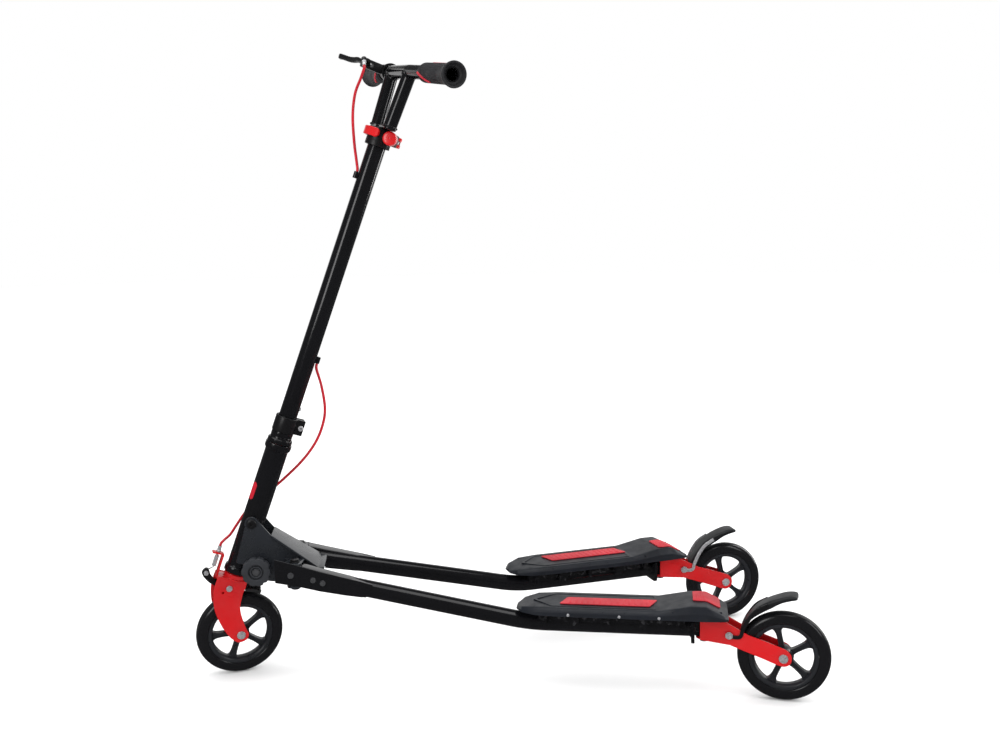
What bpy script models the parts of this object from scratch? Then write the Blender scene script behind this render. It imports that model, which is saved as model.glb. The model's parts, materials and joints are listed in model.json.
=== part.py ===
"""Three-wheeled swing scooter with two foot decks on swinging arms, posed as in the photo.

Front is -X, rear is +X, the scooter's left side is -Y and up is +Z. Lengths are in metres.
Each moving piece has its origin on its own joint.
"""

from math import atan2, cos, pi, radians, sin, sqrt, tan

import bmesh
import bpy
from mathutils import Matrix, Vector

# Fits between pieces
GAP = 0.0003
RUN_GAP = 0.0010

# Wheels
WHEEL_RADIUS = 0.0725
WHEEL_TOP = 0.1450
TYRE_WIDTH = 0.024
TYRE_CROWN = 0.0115
TYRE_DEPTH = 0.0188
RIM_RADIUS = WHEEL_RADIUS - TYRE_DEPTH
RIM_WALL = 0.0065
RIM_WIDTH = 0.0205
HUB_RADIUS = 0.0150
HUB_WIDTH = 0.0240
SPOKE_COUNT = 5
SPOKE_WIDTH = 0.0085
SPOKE_FLARE = 0.0170
SPOKE_DEPTH = 0.0130
BEARING_RADIUS = 0.0110
AXLE_RADIUS = 0.0040
AXLE_HEAD_RADIUS = 0.0066
AXLE_HEAD_REACH = 0.0210

# Steering column, measured along the steering axis
LEAN = radians(20.06)
STEER_AT_REST = radians(18.0)
AXIS_FOOT_X = -0.0668
TRAIL_OFFSET = 0.0378
PLATE_INNER = 0.0135
PLATE_THICKNESS = 0.0032
CROWN_LOW = 0.1765
CROWN_THICKNESS = 0.0065
STEERER_RADIUS = 0.0128
STEERER_REACH = 0.0255
HEAD_WALL = 0.0052
HEAD_RADIUS = STEERER_RADIUS + RUN_GAP + HEAD_WALL
HEAD_LOW = 0.1935
HEAD_TOP = 0.4240
CUP_RADIUS = HEAD_RADIUS + 0.0028
CUP_HEIGHT = 0.0095
RING_HEIGHT = 0.0205
RING_TOP = HEAD_TOP + RING_HEIGHT
STEERER_TOP = RING_TOP + STEERER_REACH
STEM_WALL = 0.0019
STEM_RADIUS = STEERER_RADIUS + GAP + STEM_WALL
STEM_TOP = 0.9440
STEM_COLLAR_HEIGHT = 0.0260
FRONT_BOSS = STEM_TOP - 0.0630
REAR_BOSS = 0.5750
BUTTON_RISE = 0.0425
BUTTON_AT = RING_TOP + BUTTON_RISE

# Handlebar and its clamp
CLAMP_GRIP = 0.0100
CLAMP_LOW = STEM_TOP - CLAMP_GRIP
CLAMP_HEIGHT = 0.0290
CLAMP_TURN = radians(-29.0)
CLAMP_BOLT_RISE = 0.0175
YOKE_LOW = CLAMP_LOW + CLAMP_HEIGHT + GAP
YOKE_HEIGHT = 0.0080
BAR_RISE = 0.0947
BAR_AT = YOKE_LOW + BAR_RISE
POST_LENGTH = 0.2030
POST_LOW = YOKE_LOW - POST_LENGTH
BAR_RADIUS = 0.0110
BAR_WALL = 0.0018
BAR_HALF = 0.2140
BACKSWEEP = radians(4.5)
STRUT_RADIUS = 0.0110
STRUT_AT_BAR = 0.0500
STRUT_AT_YOKE = 0.0330
GRIP_INNER_END = 0.1100
GRIP_RADIUS = 0.0150
GRIP_LENGTH = 0.1130
GRIP_FLARE = 0.0195
CLAMP_WALL = 0.0052
CLAMP_RADIUS = STEM_RADIUS + GAP + CLAMP_WALL
CLAMP_BOLT_OFF = CLAMP_RADIUS + 0.0020
CLAMP_EAR_HALF = 0.0120
RED_CAP_RADIUS = 0.0112
CABLE_RADIUS = 0.0023
CABLE_HOOD = (-0.0480, 0.0690, BAR_AT + 0.0070)
CABLE_START = (-0.0465, 0.0540, BAR_AT - 0.0080)
UPPER_CABLE = ((-0.0473, 0.0480, BAR_AT - 0.0280), (-0.0490, 0.0450, BAR_AT - 0.0550),
               (-0.0440, 0.0340, STEM_TOP + 0.0240), (-0.0320, 0.0180, STEM_TOP - 0.0160),
               (-0.0215, 0.0060, FRONT_BOSS + 0.0190), (-0.0182, 0.0003, FRONT_BOSS + 0.0085),
               (-0.0182, 0.0000, FRONT_BOSS + 0.0056))

# Front brake
STOP_OFF = -0.0400
STOP_TOP = 0.2200
BRAKE_ARM_PIVOT = (-0.0159, 0.0149)
BRAKE_BOLT_RADIUS = 0.0025
SHOE_CLEARANCE = 0.0030

# Wedge frame and fold
FOLD_AT = 0.2860
FOLD_BOSS_RADIUS = 0.0115
FOLD_BOLT_RADIUS = 0.0045
CHEEK_INNER = CUP_RADIUS + 0.0005
CHEEK_THICKNESS = 0.0040
KNOB_X = 0.0385
KNOB_Z = 0.1935
KNOB_RADIUS = 0.0237
KNOB_LOBES = 10
KNOB_FACE = 0.0520
KNOB_BOLT_RADIUS = 0.0040
WEDGE_REAR_X = 0.1390
WEDGE_REAR_Z = 0.1950
WEDGE_REAR_HALF = 0.0385
TOP_PLATE_START_X = 0.0620
TOP_PLATE_THICKNESS = 0.0040

# Swing arms, drawn for the side with positive Y
SWING_X = 0.1020
SWING_Y = 0.0520
ARM_RADIUS = 0.0140
ARM_WALL = 0.0020
ARM_NOSE = (0.0790, 0.0505, 0.1940)
ARM_START = (0.1020, 0.0520, 0.1895)
ARM_BEND = (0.4800, 0.0950, 0.1070)
ARM_END = (0.7390, 0.1560, 0.1070)
EAR_TOP = 0.2060
EAR_BOTTOM = 0.1725
EAR_THICKNESS = 0.0035
SWING_BOLT_RADIUS = 0.0050
BARREL_RADIUS = 0.0150
ARM_FACE = 0.0165
ARM_BACK = 0.0060

ARM_AT_REST = {"left": radians(-0.6), "right": radians(0.6)}

# Decks, in the arm's rear stretch: forward (-) or back (+) of the swivel, across, and height
DECK_NOSE = -0.3010
DECK_TAIL = 0.0370
DECK_HALF = 0.0450
DECK_LOW = 0.1325
DECK_TOP = 0.1450
DECK_KICK_TOP = 0.1545
DECK_KICK_START = -0.0720
DECK_KICK_LENGTH = 0.0500
DECK_TAIL_START = 0.0030
DECK_TAIL_TOP = 0.1370
DECK_WALL = 0.0035
PAD_THICKNESS = 0.0018
PAD_OVER_TAIL = 0.0240
KEEL_FRONT = -0.2650
KEEL_REAR = -0.0300
KEEL_RIBS = (-0.2520, -0.2050, -0.1510, -0.0960, -0.0420)

# Casters
SWIVEL_X = 0.7560
SWIVEL_Y = 0.1600
WHEEL_TO_SWIVEL = 0.0525
CASTER_TRAIL = WHEEL_RADIUS + WHEEL_TO_SWIVEL
WEB_X = 0.0210
PLATE_FRONT = -0.0050
WEB_THICKNESS = 0.0040
HOUSING_RADIUS = 0.0118
HOUSING_LOW = 0.0955
HOUSING_TOP = 0.1205
YOKE_EAR = 0.0040
SWIVEL_BOLT_RADIUS = 0.0045
LEFT_TOE = radians(19.6)
RIGHT_TOE = radians(6.7)
BRAKE_PIVOT = (159.4, 0.0172)
BRAKE_PIVOT_RADIUS = 0.0030

# Colours
RED = (0.716, 0.013, 0.013)
PINK_RED = (0.680, 0.085, 0.110)
BLACK = (0.010, 0.010, 0.012)
RUBBER = (0.018, 0.018, 0.020)
CHARCOAL = (0.045, 0.047, 0.055)
STEEL = (0.560, 0.560, 0.570)
CRIMSON = (0.480, 0.008, 0.020)


def clear_scene():
    """Remove whatever the scene holds."""
    for old in list(bpy.data.objects):
        bpy.data.objects.remove(old, do_unlink=True)


def material(name, colour, metallic, roughness):
    """One plain Principled material."""
    made = bpy.data.materials.new(name)
    made.use_nodes = True
    shader = made.node_tree.nodes["Principled BSDF"]
    shader.inputs["Base Color"].default_value = (*colour, 1.0)
    shader.inputs["Metallic"].default_value = metallic
    shader.inputs["Roughness"].default_value = roughness
    made.diffuse_color = (*colour, 1.0)
    return made


def mesh_of(points, faces):
    """A mesh from points and faces, with its faces turned outwards."""
    made = bpy.data.meshes.new("shape")
    made.from_pydata([tuple(point) for point in points], [], faces)
    work = bmesh.new()
    work.from_mesh(made)
    bmesh.ops.recalc_face_normals(work, faces=work.faces)
    work.to_mesh(made)
    work.free()
    return made


def skin(loops, closed=False):
    """Join equal loops of points side by side, with flat ends unless closed into a ring."""
    count = len(loops[0])
    points = [point for loop in loops for point in loop]
    faces = []
    spans = len(loops) if closed else len(loops) - 1
    for row in range(spans):
        after = (row + 1) % len(loops)
        for k in range(count):
            n = (k + 1) % count
            faces.append((row * count + k, row * count + n, after * count + n, after * count + k))
    if not closed:
        faces.append(tuple(range(count)))
        faces.append(tuple((len(loops) - 1) * count + k for k in range(count)))
    return mesh_of(points, faces)


def basis(direction, hint=(0.0, 0.0, 1.0)):
    """Two unit directions square to the given one."""
    along = Vector(direction).normalized()
    side = Vector(hint).cross(along)
    if side.length < 1e-4:
        side = Vector((1.0, 0.0, 0.0)).cross(along)
    if side.length < 1e-4:
        side = Vector((0.0, 1.0, 0.0)).cross(along)
    side.normalize()
    return side, along.cross(side)


def ring_lathe(profile, centre, axis, steps=32):
    """Turn a closed profile of (radius, distance along the axis) about an axis."""
    side, up = basis(axis)
    along = Vector(axis).normalized()
    loops = []
    for k in range(steps):
        angle = 2 * pi * k / steps
        out = side * cos(angle) + up * sin(angle)
        loops.append([Vector(centre) + along * height + out * radius for radius, height in profile])
    return skin(loops, closed=True)


def turned(profile, centre, axis, steps=24):
    """Turn an open profile of (radius, distance along the axis) into a solid with flat ends."""
    side, up = basis(axis)
    along = Vector(axis).normalized()
    loops = []
    for radius, height in profile:
        loop = []
        for k in range(steps):
            angle = 2 * pi * k / steps
            out = side * cos(angle) + up * sin(angle)
            loop.append(Vector(centre) + along * height + out * radius)
        loops.append(loop)
    return skin(loops)


def rod(start, end, radius, steps=24):
    """A round solid bar."""
    start = Vector(start)
    span = Vector(end) - start
    return turned([(radius, 0.0), (radius, span.length)], start, span, steps)


def tube(points, radius, steps=16, across=None):
    """A round or oval bar swept along a line of points."""
    points = [Vector(point) for point in points]
    loops = []
    for k, point in enumerate(points):
        before = points[max(k - 1, 0)]
        after = points[min(k + 1, len(points) - 1)]
        heading = (after - before).normalized()
        side, up = basis(heading)
        wide = across if across else radius
        loop = []
        for n in range(steps):
            angle = 2 * pi * n / steps
            loop.append(point + side * wide * cos(angle) + up * radius * sin(angle))
        loops.append(loop)
    return skin(loops)


def smooth_path(points, steps=4):
    """More points on a smooth curve through the given ones."""
    points = [Vector(point) for point in points]
    padded = [points[0] * 2 - points[1]] + points + [points[-1] * 2 - points[-2]]
    out = []
    for k in range(1, len(padded) - 2):
        a, b, c, d = padded[k - 1 : k + 3]
        for n in range(steps):
            t = n / steps
            out.append(
                0.5 * (2 * b + (c - a) * t + (2 * a - 5 * b + 4 * c - d) * t**2
                       + (3 * b - a - 3 * c + d) * t**3)
            )
    out.append(points[-1])
    return out


def slab(outline, low, high, axis="y"):
    """Push an outline out between two distances: (x, z) across Y, or (x, y) up Z."""
    if axis == "y":
        loops = [[(x, level, z) for x, z in outline] for level in (low, high)]
    else:
        loops = [[(x, y, level) for x, y in outline] for level in (low, high)]
    return skin(loops)


def block(low, high):
    """A box between two corners."""
    (x0, y0, z0), (x1, y1, z1) = low, high
    return slab([(x0, y0), (x1, y0), (x1, y1), (x0, y1)], z0, z1, axis="z")


def hex_head(centre, axis, radius, start, end):
    """A six-sided bolt head or nut."""
    return turned([(radius, start), (radius, end)], centre, axis, steps=6)


def round_corners(outline, radius, steps=3):
    """Round the corners of an outline."""
    out = []
    count = len(outline)
    for k in range(count):
        corner = Vector(outline[k])
        before = Vector(outline[k - 1]) - corner
        after = Vector(outline[(k + 1) % count]) - corner
        cut = min(radius, before.length * 0.45, after.length * 0.45)
        start = corner + before.normalized() * cut
        end = corner + after.normalized() * cut
        for n in range(steps + 1):
            t = n / steps
            out.append(tuple(start * (1 - t) ** 2 + corner * 2 * t * (1 - t) + end * t**2))
    return out


def boolean(base, tools, operation):
    """Apply exact Booleans at once and return the resulting mesh."""
    scene = bpy.context.scene.collection
    body = bpy.data.objects.new("work", base)
    scene.objects.link(body)
    helpers = [body]
    for tool in tools:
        helper = bpy.data.objects.new("tool", tool)
        scene.objects.link(helper)
        helpers.append(helper)
        step = body.modifiers.new("step", "BOOLEAN")
        step.operation = operation
        step.solver = "EXACT"
        step.object = helper
    bpy.context.view_layer.update()
    graph = bpy.context.evaluated_depsgraph_get()
    made = bpy.data.meshes.new_from_object(body.evaluated_get(graph))
    for helper in helpers:
        bpy.data.objects.remove(helper, do_unlink=True)
    return made


def join(base, *others):
    return boolean(base, others, "UNION")


def cut(base, *others):
    return boolean(base, others, "DIFFERENCE")


def space(name, parent, location=(0.0, 0.0, 0.0), turns=()):
    """An empty that carries pieces. Its turns are (angle, axis) pairs, applied in order."""
    made = bpy.data.objects.new(name, None)
    made.empty_display_size = 0.02
    bpy.context.scene.collection.objects.link(made)
    made.parent = parent
    matrix = Matrix.Translation(location)
    for angle, axis in turns:
        matrix = matrix @ Matrix.Rotation(angle, 4, axis)
    made.matrix_local = matrix
    return made


def piece(name, shape, home, look, pivot=(0.0, 0.0, 0.0), flat=False):
    """A finished piece in its space, with its origin on the pivot."""
    shape.transform(Matrix.Translation(-Vector(pivot)))
    shape.name = name
    shape.materials.clear()
    shape.materials.append(look)
    for face in shape.polygons:
        face.use_smooth = not flat
    made = bpy.data.objects.new(name, shape)
    bpy.context.scene.collection.objects.link(made)
    made.parent = home
    made.matrix_local = Matrix.Translation(pivot)
    return made


def mirrored(outline):
    return [(x, -y) for x, y in reversed(outline)]


def wheel(tag, home, spoke_turn, looks):
    """Tyre, five-spoke rim and bearings round the Y axis of the home space."""
    bead = RIM_RADIUS + GAP
    half = TYRE_WIDTH / 2
    crown = WHEEL_RADIUS - TYRE_CROWN
    profile = [(bead, -half * 0.80), (bead + 0.003, -half)]
    for k in range(7):
        angle = -pi / 2 + pi * k / 6
        profile.append((crown + TYRE_CROWN * cos(angle), half * sin(angle)))
    profile += [(bead + 0.003, half), (bead, half * 0.80)]
    piece(f"{tag}_tyre", ring_lathe(profile, (0, 0, 0), (0, 1, 0), 36), home, looks["rubber"])

    inner = RIM_RADIUS - RIM_WALL
    edge = RIM_WIDTH / 2
    lip = 0.0016
    band = [(inner, -edge), (RIM_RADIUS, -edge), (RIM_RADIUS, edge), (inner, edge),
            (inner - lip, edge - 0.004), (inner - lip, -edge + 0.004)]
    shape = ring_lathe(band, (0, 0, 0), (0, 1, 0), 36)
    hub = rod((0, -HUB_WIDTH / 2, 0), (0, HUB_WIDTH / 2, 0), HUB_RADIUS, 18)
    spokes = []
    for k in range(SPOKE_COUNT):
        angle = spoke_turn + 2 * pi * k / SPOKE_COUNT
        out = Vector((cos(angle), 0, sin(angle)))
        side = Vector((-sin(angle), 0, cos(angle)))
        rows = ((HUB_RADIUS * 0.80, SPOKE_WIDTH), (inner * 0.72, SPOKE_WIDTH),
                (inner + lip, SPOKE_FLARE))
        loops = []
        for reach, width in rows:
            deep = SPOKE_DEPTH / 2
            loops.append([out * reach + side * (width / 2) * a + Vector((0, deep * b, 0))
                          for a, b in ((-1, -1), (1, -1), (1, 1), (-1, 1))])
        spokes.append(skin(loops))
    shape = join(shape, hub, *spokes)
    bore = rod((0, -HUB_WIDTH, 0), (0, HUB_WIDTH, 0), BEARING_RADIUS + GAP, 18)
    piece(f"{tag}_rim", cut(shape, bore), home, looks["charcoal"])

    reach = PLATE_INNER - GAP
    face = HUB_WIDTH / 2 - 0.0010
    core = BEARING_RADIUS - 0.0040
    bearings = [(AXLE_RADIUS + GAP, -reach), (0.0060, -reach), (0.0060, -face),
                (BEARING_RADIUS, -face), (BEARING_RADIUS, -face + 0.0070),
                (core, -face + 0.0070), (core, face - 0.0070), (BEARING_RADIUS, face - 0.0070),
                (BEARING_RADIUS, face), (0.0060, face), (0.0060, reach),
                (AXLE_RADIUS + GAP, reach)]
    piece(f"{tag}_bearings", ring_lathe(bearings, (0, 0, 0), (0, 1, 0), 16), home, looks["steel"])


def axle_bolt(name, home, looks, plate_outer):
    """Shank with a head and a nut outside the two plates."""
    seat = plate_outer + GAP
    shank = rod((0, -seat - 0.001, 0), (0, seat + 0.001, 0), AXLE_RADIUS, 12)
    head = hex_head((0, 0, 0), (0, -1, 0), AXLE_HEAD_RADIUS, seat, AXLE_HEAD_REACH)
    nut = hex_head((0, 0, 0), (0, 1, 0), AXLE_HEAD_RADIUS, seat, AXLE_HEAD_REACH)
    piece(name, join(shank, head, nut), home, looks["steel"], flat=True)


def through_bolt(start, end, radius, head_radius, head_height, seat_low, seat_high):
    """A bolt from start to end with a head under seat_low and a nut over seat_high."""
    start = Vector(start)
    axis = (Vector(end) - start).normalized()
    shank = turned([(radius, seat_low - 0.001), (radius, seat_high + 0.001)], start, axis, 12)
    head = hex_head(start, axis, head_radius, seat_low - head_height, seat_low)
    nut = hex_head(start, axis, head_radius, seat_high, seat_high + head_height)
    return join(shank, head, nut)


def cheek_outline():
    """Side plate from the fold bolt down to the knob and back under the top plate."""
    hinge_x = AXIS_FOOT_X + FOLD_AT * sin(LEAN)
    hinge_z = FOLD_AT * cos(LEAN)
    boss = []
    for degrees in (195, 160, 125, 90, 60):
        angle = radians(degrees)
        boss.append((hinge_x + FOLD_BOSS_RADIUS * cos(angle), hinge_z + FOLD_BOSS_RADIUS * sin(angle)))
    return boss + [
        (TOP_PLATE_START_X, top_plate_height(TOP_PLATE_START_X) - 0.001),
        (WEDGE_REAR_X, WEDGE_REAR_Z - 0.001),
        (WEDGE_REAR_X, EAR_BOTTOM - EAR_THICKNESS),
        (0.0620, EAR_BOTTOM - EAR_THICKNESS),
        (0.0400, 0.1735),
        (0.0160, 0.1850),
        (0.0032, 0.2040),
    ]


def top_plate_height(x):
    """Upper face of the slanted plate."""
    front_x, front_z = 0.0350, 0.2680
    share = (x - front_x) / (WEDGE_REAR_X - front_x)
    return front_z + (WEDGE_REAR_Z - front_z) * share


def build_frame(home, looks):
    """Wedge frame with its cheeks, slanted plate, rear face and the ears for both arms."""
    outline = cheek_outline()
    outer = CHEEK_INNER + CHEEK_THICKNESS
    left = slab(outline, -outer, -CHEEK_INNER)
    right = slab(outline, CHEEK_INNER, outer)
    low_x, high_x = TOP_PLATE_START_X, WEDGE_REAR_X
    low_z, high_z = top_plate_height(low_x), WEDGE_REAR_Z
    deep = TOP_PLATE_THICKNESS
    front_half = outer + 0.0005
    rear_half = WEDGE_REAR_HALF
    loops = []
    for x, z, half in ((low_x, low_z, front_half), (high_x, high_z, rear_half),
                       (high_x + 0.009, high_z, rear_half)):
        loops.append([(x, -half, z), (x, half, z), (x, half, z - deep), (x, -half, z - deep)])
    top = skin(loops)
    rear = block((high_x - 0.004, -0.0340, EAR_BOTTOM - EAR_THICKNESS),
                 (high_x, 0.0340, high_z - 0.001))
    reach = SWING_Y + BARREL_RADIUS
    ears = []
    for low in (EAR_TOP, EAR_BOTTOM - EAR_THICKNESS):
        plan = [(SWING_X - 0.018, -0.0240), (SWING_X - 0.012, -reach + 0.004), (SWING_X - 0.006, -reach),
                (SWING_X + 0.006, -reach), (SWING_X + 0.011, -reach + 0.004),
                (SWING_X + 0.015, -0.0300)]
        plan = plan + mirrored(plan)
        ears.append(slab(plan, low, low + EAR_THICKNESS, axis="z"))
    shape = join(left, right, top, rear, *ears)
    hinge = (AXIS_FOOT_X + FOLD_AT * sin(LEAN), FOLD_AT * cos(LEAN))
    bolt_hole = rod((hinge[0], -0.05, hinge[1]), (hinge[0], 0.05, hinge[1]),
                    FOLD_BOLT_RADIUS + GAP, 14)
    slot_radius = KNOB_BOLT_RADIUS + RUN_GAP
    arm = Vector((KNOB_X - hinge[0], KNOB_Z - hinge[1]))
    path = []
    for step in range(8):
        angle = radians(-6.0 * step)
        turned_arm = Matrix.Rotation(angle, 2) @ arm
        path.append((hinge[0] + turned_arm.x, -CHEEK_INNER - CHEEK_THICKNESS / 2, hinge[1] + turned_arm.y))
    upper = []
    lower = []
    for k, point in enumerate(path):
        away = (Vector((point[0], point[2])) - Vector(hinge)).normalized()
        upper.append((point[0] - away.x * slot_radius, point[2] - away.y * slot_radius))
        lower.append((point[0] + away.x * slot_radius, point[2] + away.y * slot_radius))
    slot = slab(upper + lower[::-1], -0.0300, -0.0200)
    slot_end = rod((KNOB_X, -0.0300, KNOB_Z), (KNOB_X, -0.0200, KNOB_Z), slot_radius, 14)
    pins = [rod((SWING_X, side * SWING_Y, 0.15), (SWING_X, side * SWING_Y, 0.22),
                SWING_BOLT_RADIUS + GAP, 12) for side in (-1, 1)]
    shape = cut(shape, bolt_hole, slot_end, *pins)
    shape = cut(shape, slot)
    piece("wedge_frame", shape, home, looks["frame_black"], flat=True)
    for side, name in ((-1, "swing_bolt_left"), (1, "swing_bolt_right")):
        foot = (SWING_X, side * SWING_Y, 0.0)
        bolt = through_bolt(foot, (foot[0], foot[1], 1.0), SWING_BOLT_RADIUS, 0.0078, 0.0045,
                            EAR_BOTTOM - EAR_THICKNESS - GAP, EAR_TOP + EAR_THICKNESS + GAP)
        piece(name, bolt, home, looks["steel"], pivot=(SWING_X, side * SWING_Y, EAR_BOTTOM), flat=True)


def build_head(home, looks):
    """Head tube with cups, the lug the knob screws into and the trunnions of the fold."""
    cups = [(HEAD_RADIUS, HEAD_LOW + CUP_HEIGHT + 0.002), (CUP_RADIUS, HEAD_LOW + CUP_HEIGHT),
            (CUP_RADIUS, HEAD_LOW), (STEERER_RADIUS + RUN_GAP, HEAD_LOW),
            (STEERER_RADIUS + RUN_GAP, HEAD_TOP), (CUP_RADIUS, HEAD_TOP),
            (CUP_RADIUS, HEAD_TOP - CUP_HEIGHT), (HEAD_RADIUS, HEAD_TOP - CUP_HEIGHT - 0.002)]
    shape = ring_lathe(cups, (0, 0, 0), (0, 0, 1), 24)
    trunnion = rod((0, -CHEEK_INNER + GAP, FOLD_AT), (0, CHEEK_INNER - GAP, FOLD_AT), 0.0095, 16)
    inner = rod((0, 0, FOLD_AT - 0.02), (0, 0, FOLD_AT + 0.02), STEERER_RADIUS + RUN_GAP + 0.0008, 16)
    trunnion = cut(trunnion, inner)
    knob_off = (KNOB_X - AXIS_FOOT_X) * cos(LEAN) - KNOB_Z * sin(LEAN)
    knob_at = (KNOB_X - AXIS_FOOT_X) * sin(LEAN) + KNOB_Z * cos(LEAN)
    lug = block((HEAD_RADIUS - 0.0025, -CHEEK_INNER + GAP, knob_at - 0.009),
                (knob_off + 0.009, CHEEK_INNER - GAP, knob_at + 0.009))
    shape = join(shape, lug)
    shape = join(shape, trunnion)
    holes = [rod((knob_off, -0.03, knob_at), (knob_off, -0.010, knob_at), KNOB_BOLT_RADIUS + GAP, 16)]
    for side in (-1, 1):
        holes.append(rod((0, side * 0.0170, FOLD_AT), (0, side * 0.0300, FOLD_AT),
                         FOLD_BOLT_RADIUS + GAP, 16))
    piece("head_tube", cut(shape, *holes), home, looks["gloss_black"], pivot=(0, 0, FOLD_AT))
    outer = CHEEK_INNER + CHEEK_THICKNESS + GAP
    for side, name in ((-1, "fold_bolt_left"), (1, "fold_bolt_right")):
        axis = (0, side, 0)
        shank = turned([(FOLD_BOLT_RADIUS, 0.0174), (FOLD_BOLT_RADIUS, outer + 0.001)],
                       (0, 0, FOLD_AT), axis, 16)
        head = turned([(0.0078, outer), (0.0078, outer + 0.0018), (0.0060, outer + 0.0034)],
                      (0, 0, FOLD_AT), axis, 16)
        piece(name, join(shank, head), home, looks["steel"], pivot=(0, 0, FOLD_AT))

    base = CHEEK_INNER + CHEEK_THICKNESS + GAP
    lobes = []
    for k in range(KNOB_LOBES * 3):
        angle = 2 * pi * k / (KNOB_LOBES * 3)
        dip = 0.0016 * (1 if k % 3 == 0 else 0)
        lobes.append((knob_off + (KNOB_RADIUS - dip) * cos(angle), knob_at + (KNOB_RADIUS - dip) * sin(angle)))
    grip = slab(lobes, -KNOB_FACE, -KNOB_FACE + 0.0130)
    boss = rod((knob_off, -KNOB_FACE + 0.010, knob_at), (knob_off, -base, knob_at), 0.0120, 16)
    pin = rod((knob_off, -base - 0.002, knob_at), (knob_off, -0.0104, knob_at), KNOB_BOLT_RADIUS, 16)
    dish = rod((knob_off, -KNOB_FACE - 0.01, knob_at), (knob_off, -KNOB_FACE + 0.0035, knob_at), 0.0110, 16)
    cap = rod((knob_off, -KNOB_FACE + 0.0010, knob_at), (knob_off, -KNOB_FACE + 0.0060, knob_at), 0.0062, 12)
    shape = join(cut(join(grip, boss, pin), dish), cap)
    piece("clamping_knob", shape, home, looks["dark_plastic"], pivot=(knob_off, -base, knob_at))


def wheel_to_stem(point, axle_at):
    """From (back, up) of the front axle to (back, along) of the steering axis."""
    back, up = point
    return (back * cos(LEAN) - up * sin(LEAN) + TRAIL_OFFSET,
            back * sin(LEAN) + up * cos(LEAN) + axle_at)


def wheel_top_to_stem(point, axle_at):
    """From (back, up) of the front tyre's top to (back, along) of the steering axis."""
    return wheel_to_stem((point[0], point[1] + WHEEL_RADIUS), axle_at)


def front_axle_at():
    """Where the axle sits along the steering axis for the turned wheel to touch the floor."""
    tilt = math_tilt()
    drop = (WHEEL_RADIUS - TYRE_CROWN) * cos(tilt) + TYRE_CROWN
    height = WHEEL_TOP - 2 * WHEEL_RADIUS + drop
    return (height + TRAIL_OFFSET * cos(STEER_AT_REST) * sin(LEAN)) / cos(LEAN)


def math_tilt():
    """How far the turned front wheel leans from upright."""
    rise = sin(LEAN) * sin(STEER_AT_REST)
    return atan2(rise, sqrt(1 - rise * rise))


def build_fork(home, wheel_home, looks):
    """Plate fork with crown, steerer and cable stop, drawn in the steering space."""
    axle_at = front_axle_at()
    low = [(0.0010, 0.0538), (0.0019, 0.0362), (0.0089, 0.0100), (0.0128, 0.0010), (0.0100, -0.0085),
           (0.0010, -0.0127), (-0.0080, -0.0115), (-0.0200, 0.0006), (-0.0326, 0.0242),
           (-0.0418, 0.0541), (-0.0419, 0.0826), (-0.0372, 0.1000)]
    low = [wheel_to_stem(point, axle_at) for point in low]
    rear = wheel_to_stem((0.0066, 0.0758), axle_at)
    top = CROWN_LOW + CROWN_THICKNESS
    outline = [(0.0185, top), (0.0195, CROWN_LOW - 0.004), rear] + low + [(-0.0310, top)]
    plates = []
    for side in (-1, 1):
        near = side * PLATE_INNER
        far = side * (PLATE_INNER + PLATE_THICKNESS)
        plates.append(slab(outline, min(near, far), max(near, far)))
    half = PLATE_INNER + PLATE_THICKNESS
    crown = block((-0.0310, -half + 0.0005, CROWN_LOW), (0.0185, half - 0.0005, top))
    race = HEAD_LOW - RUN_GAP
    steerer = turned([(0.0195, top - 0.001), (0.0195, race - 0.002), (STEERER_RADIUS, race),
                      (STEERER_RADIUS, STEERER_TOP)], (0, 0, 0), (0, 0, 1), 24)
    tab_y = 0.0060
    tab = block((-0.0325, -tab_y, CROWN_LOW + 0.001), (-0.0295, tab_y, STOP_TOP))
    lip = block((-0.0490, -tab_y, STOP_TOP - 0.0028), (-0.0295, tab_y, STOP_TOP))
    shape = join(crown, *plates)
    shape = join(shape, steerer, tab, lip)
    axle = wheel_to_stem((0, 0), axle_at)
    holes = [rod((axle[0], -0.03, axle[1]), (axle[0], 0.03, axle[1]), AXLE_RADIUS + GAP, 12)]
    arm_at = wheel_top_to_stem(BRAKE_ARM_PIVOT, axle_at)
    holes.append(rod((arm_at[0], -0.03, arm_at[1]), (arm_at[0], 0.03, arm_at[1]), BRAKE_BOLT_RADIUS + GAP, 16))
    holes.append(rod((STOP_OFF, 0, 0.2100), (STOP_OFF, 0, 0.2300), 0.0020 + GAP, 16))
    piece("fork", cut(shape, *holes), home, looks["red_paint"], pivot=(0, 0, CROWN_LOW))
    axle_bolt("front_axle", wheel_home, looks, PLATE_INNER + PLATE_THICKNESS)

    lock = [(STEERER_RADIUS + GAP, HEAD_TOP + RUN_GAP), (0.0205, HEAD_TOP + RUN_GAP),
            (0.0205, HEAD_TOP + 0.0080), (0.0180, HEAD_TOP + 0.0090), (0.0180, RING_TOP),
            (STEERER_RADIUS + GAP, RING_TOP)]
    piece("headset_ring", ring_lathe(lock, (0, 0, 0), (0, 0, 1), 24), home, looks["gloss_black"])
    return arm_at


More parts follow.
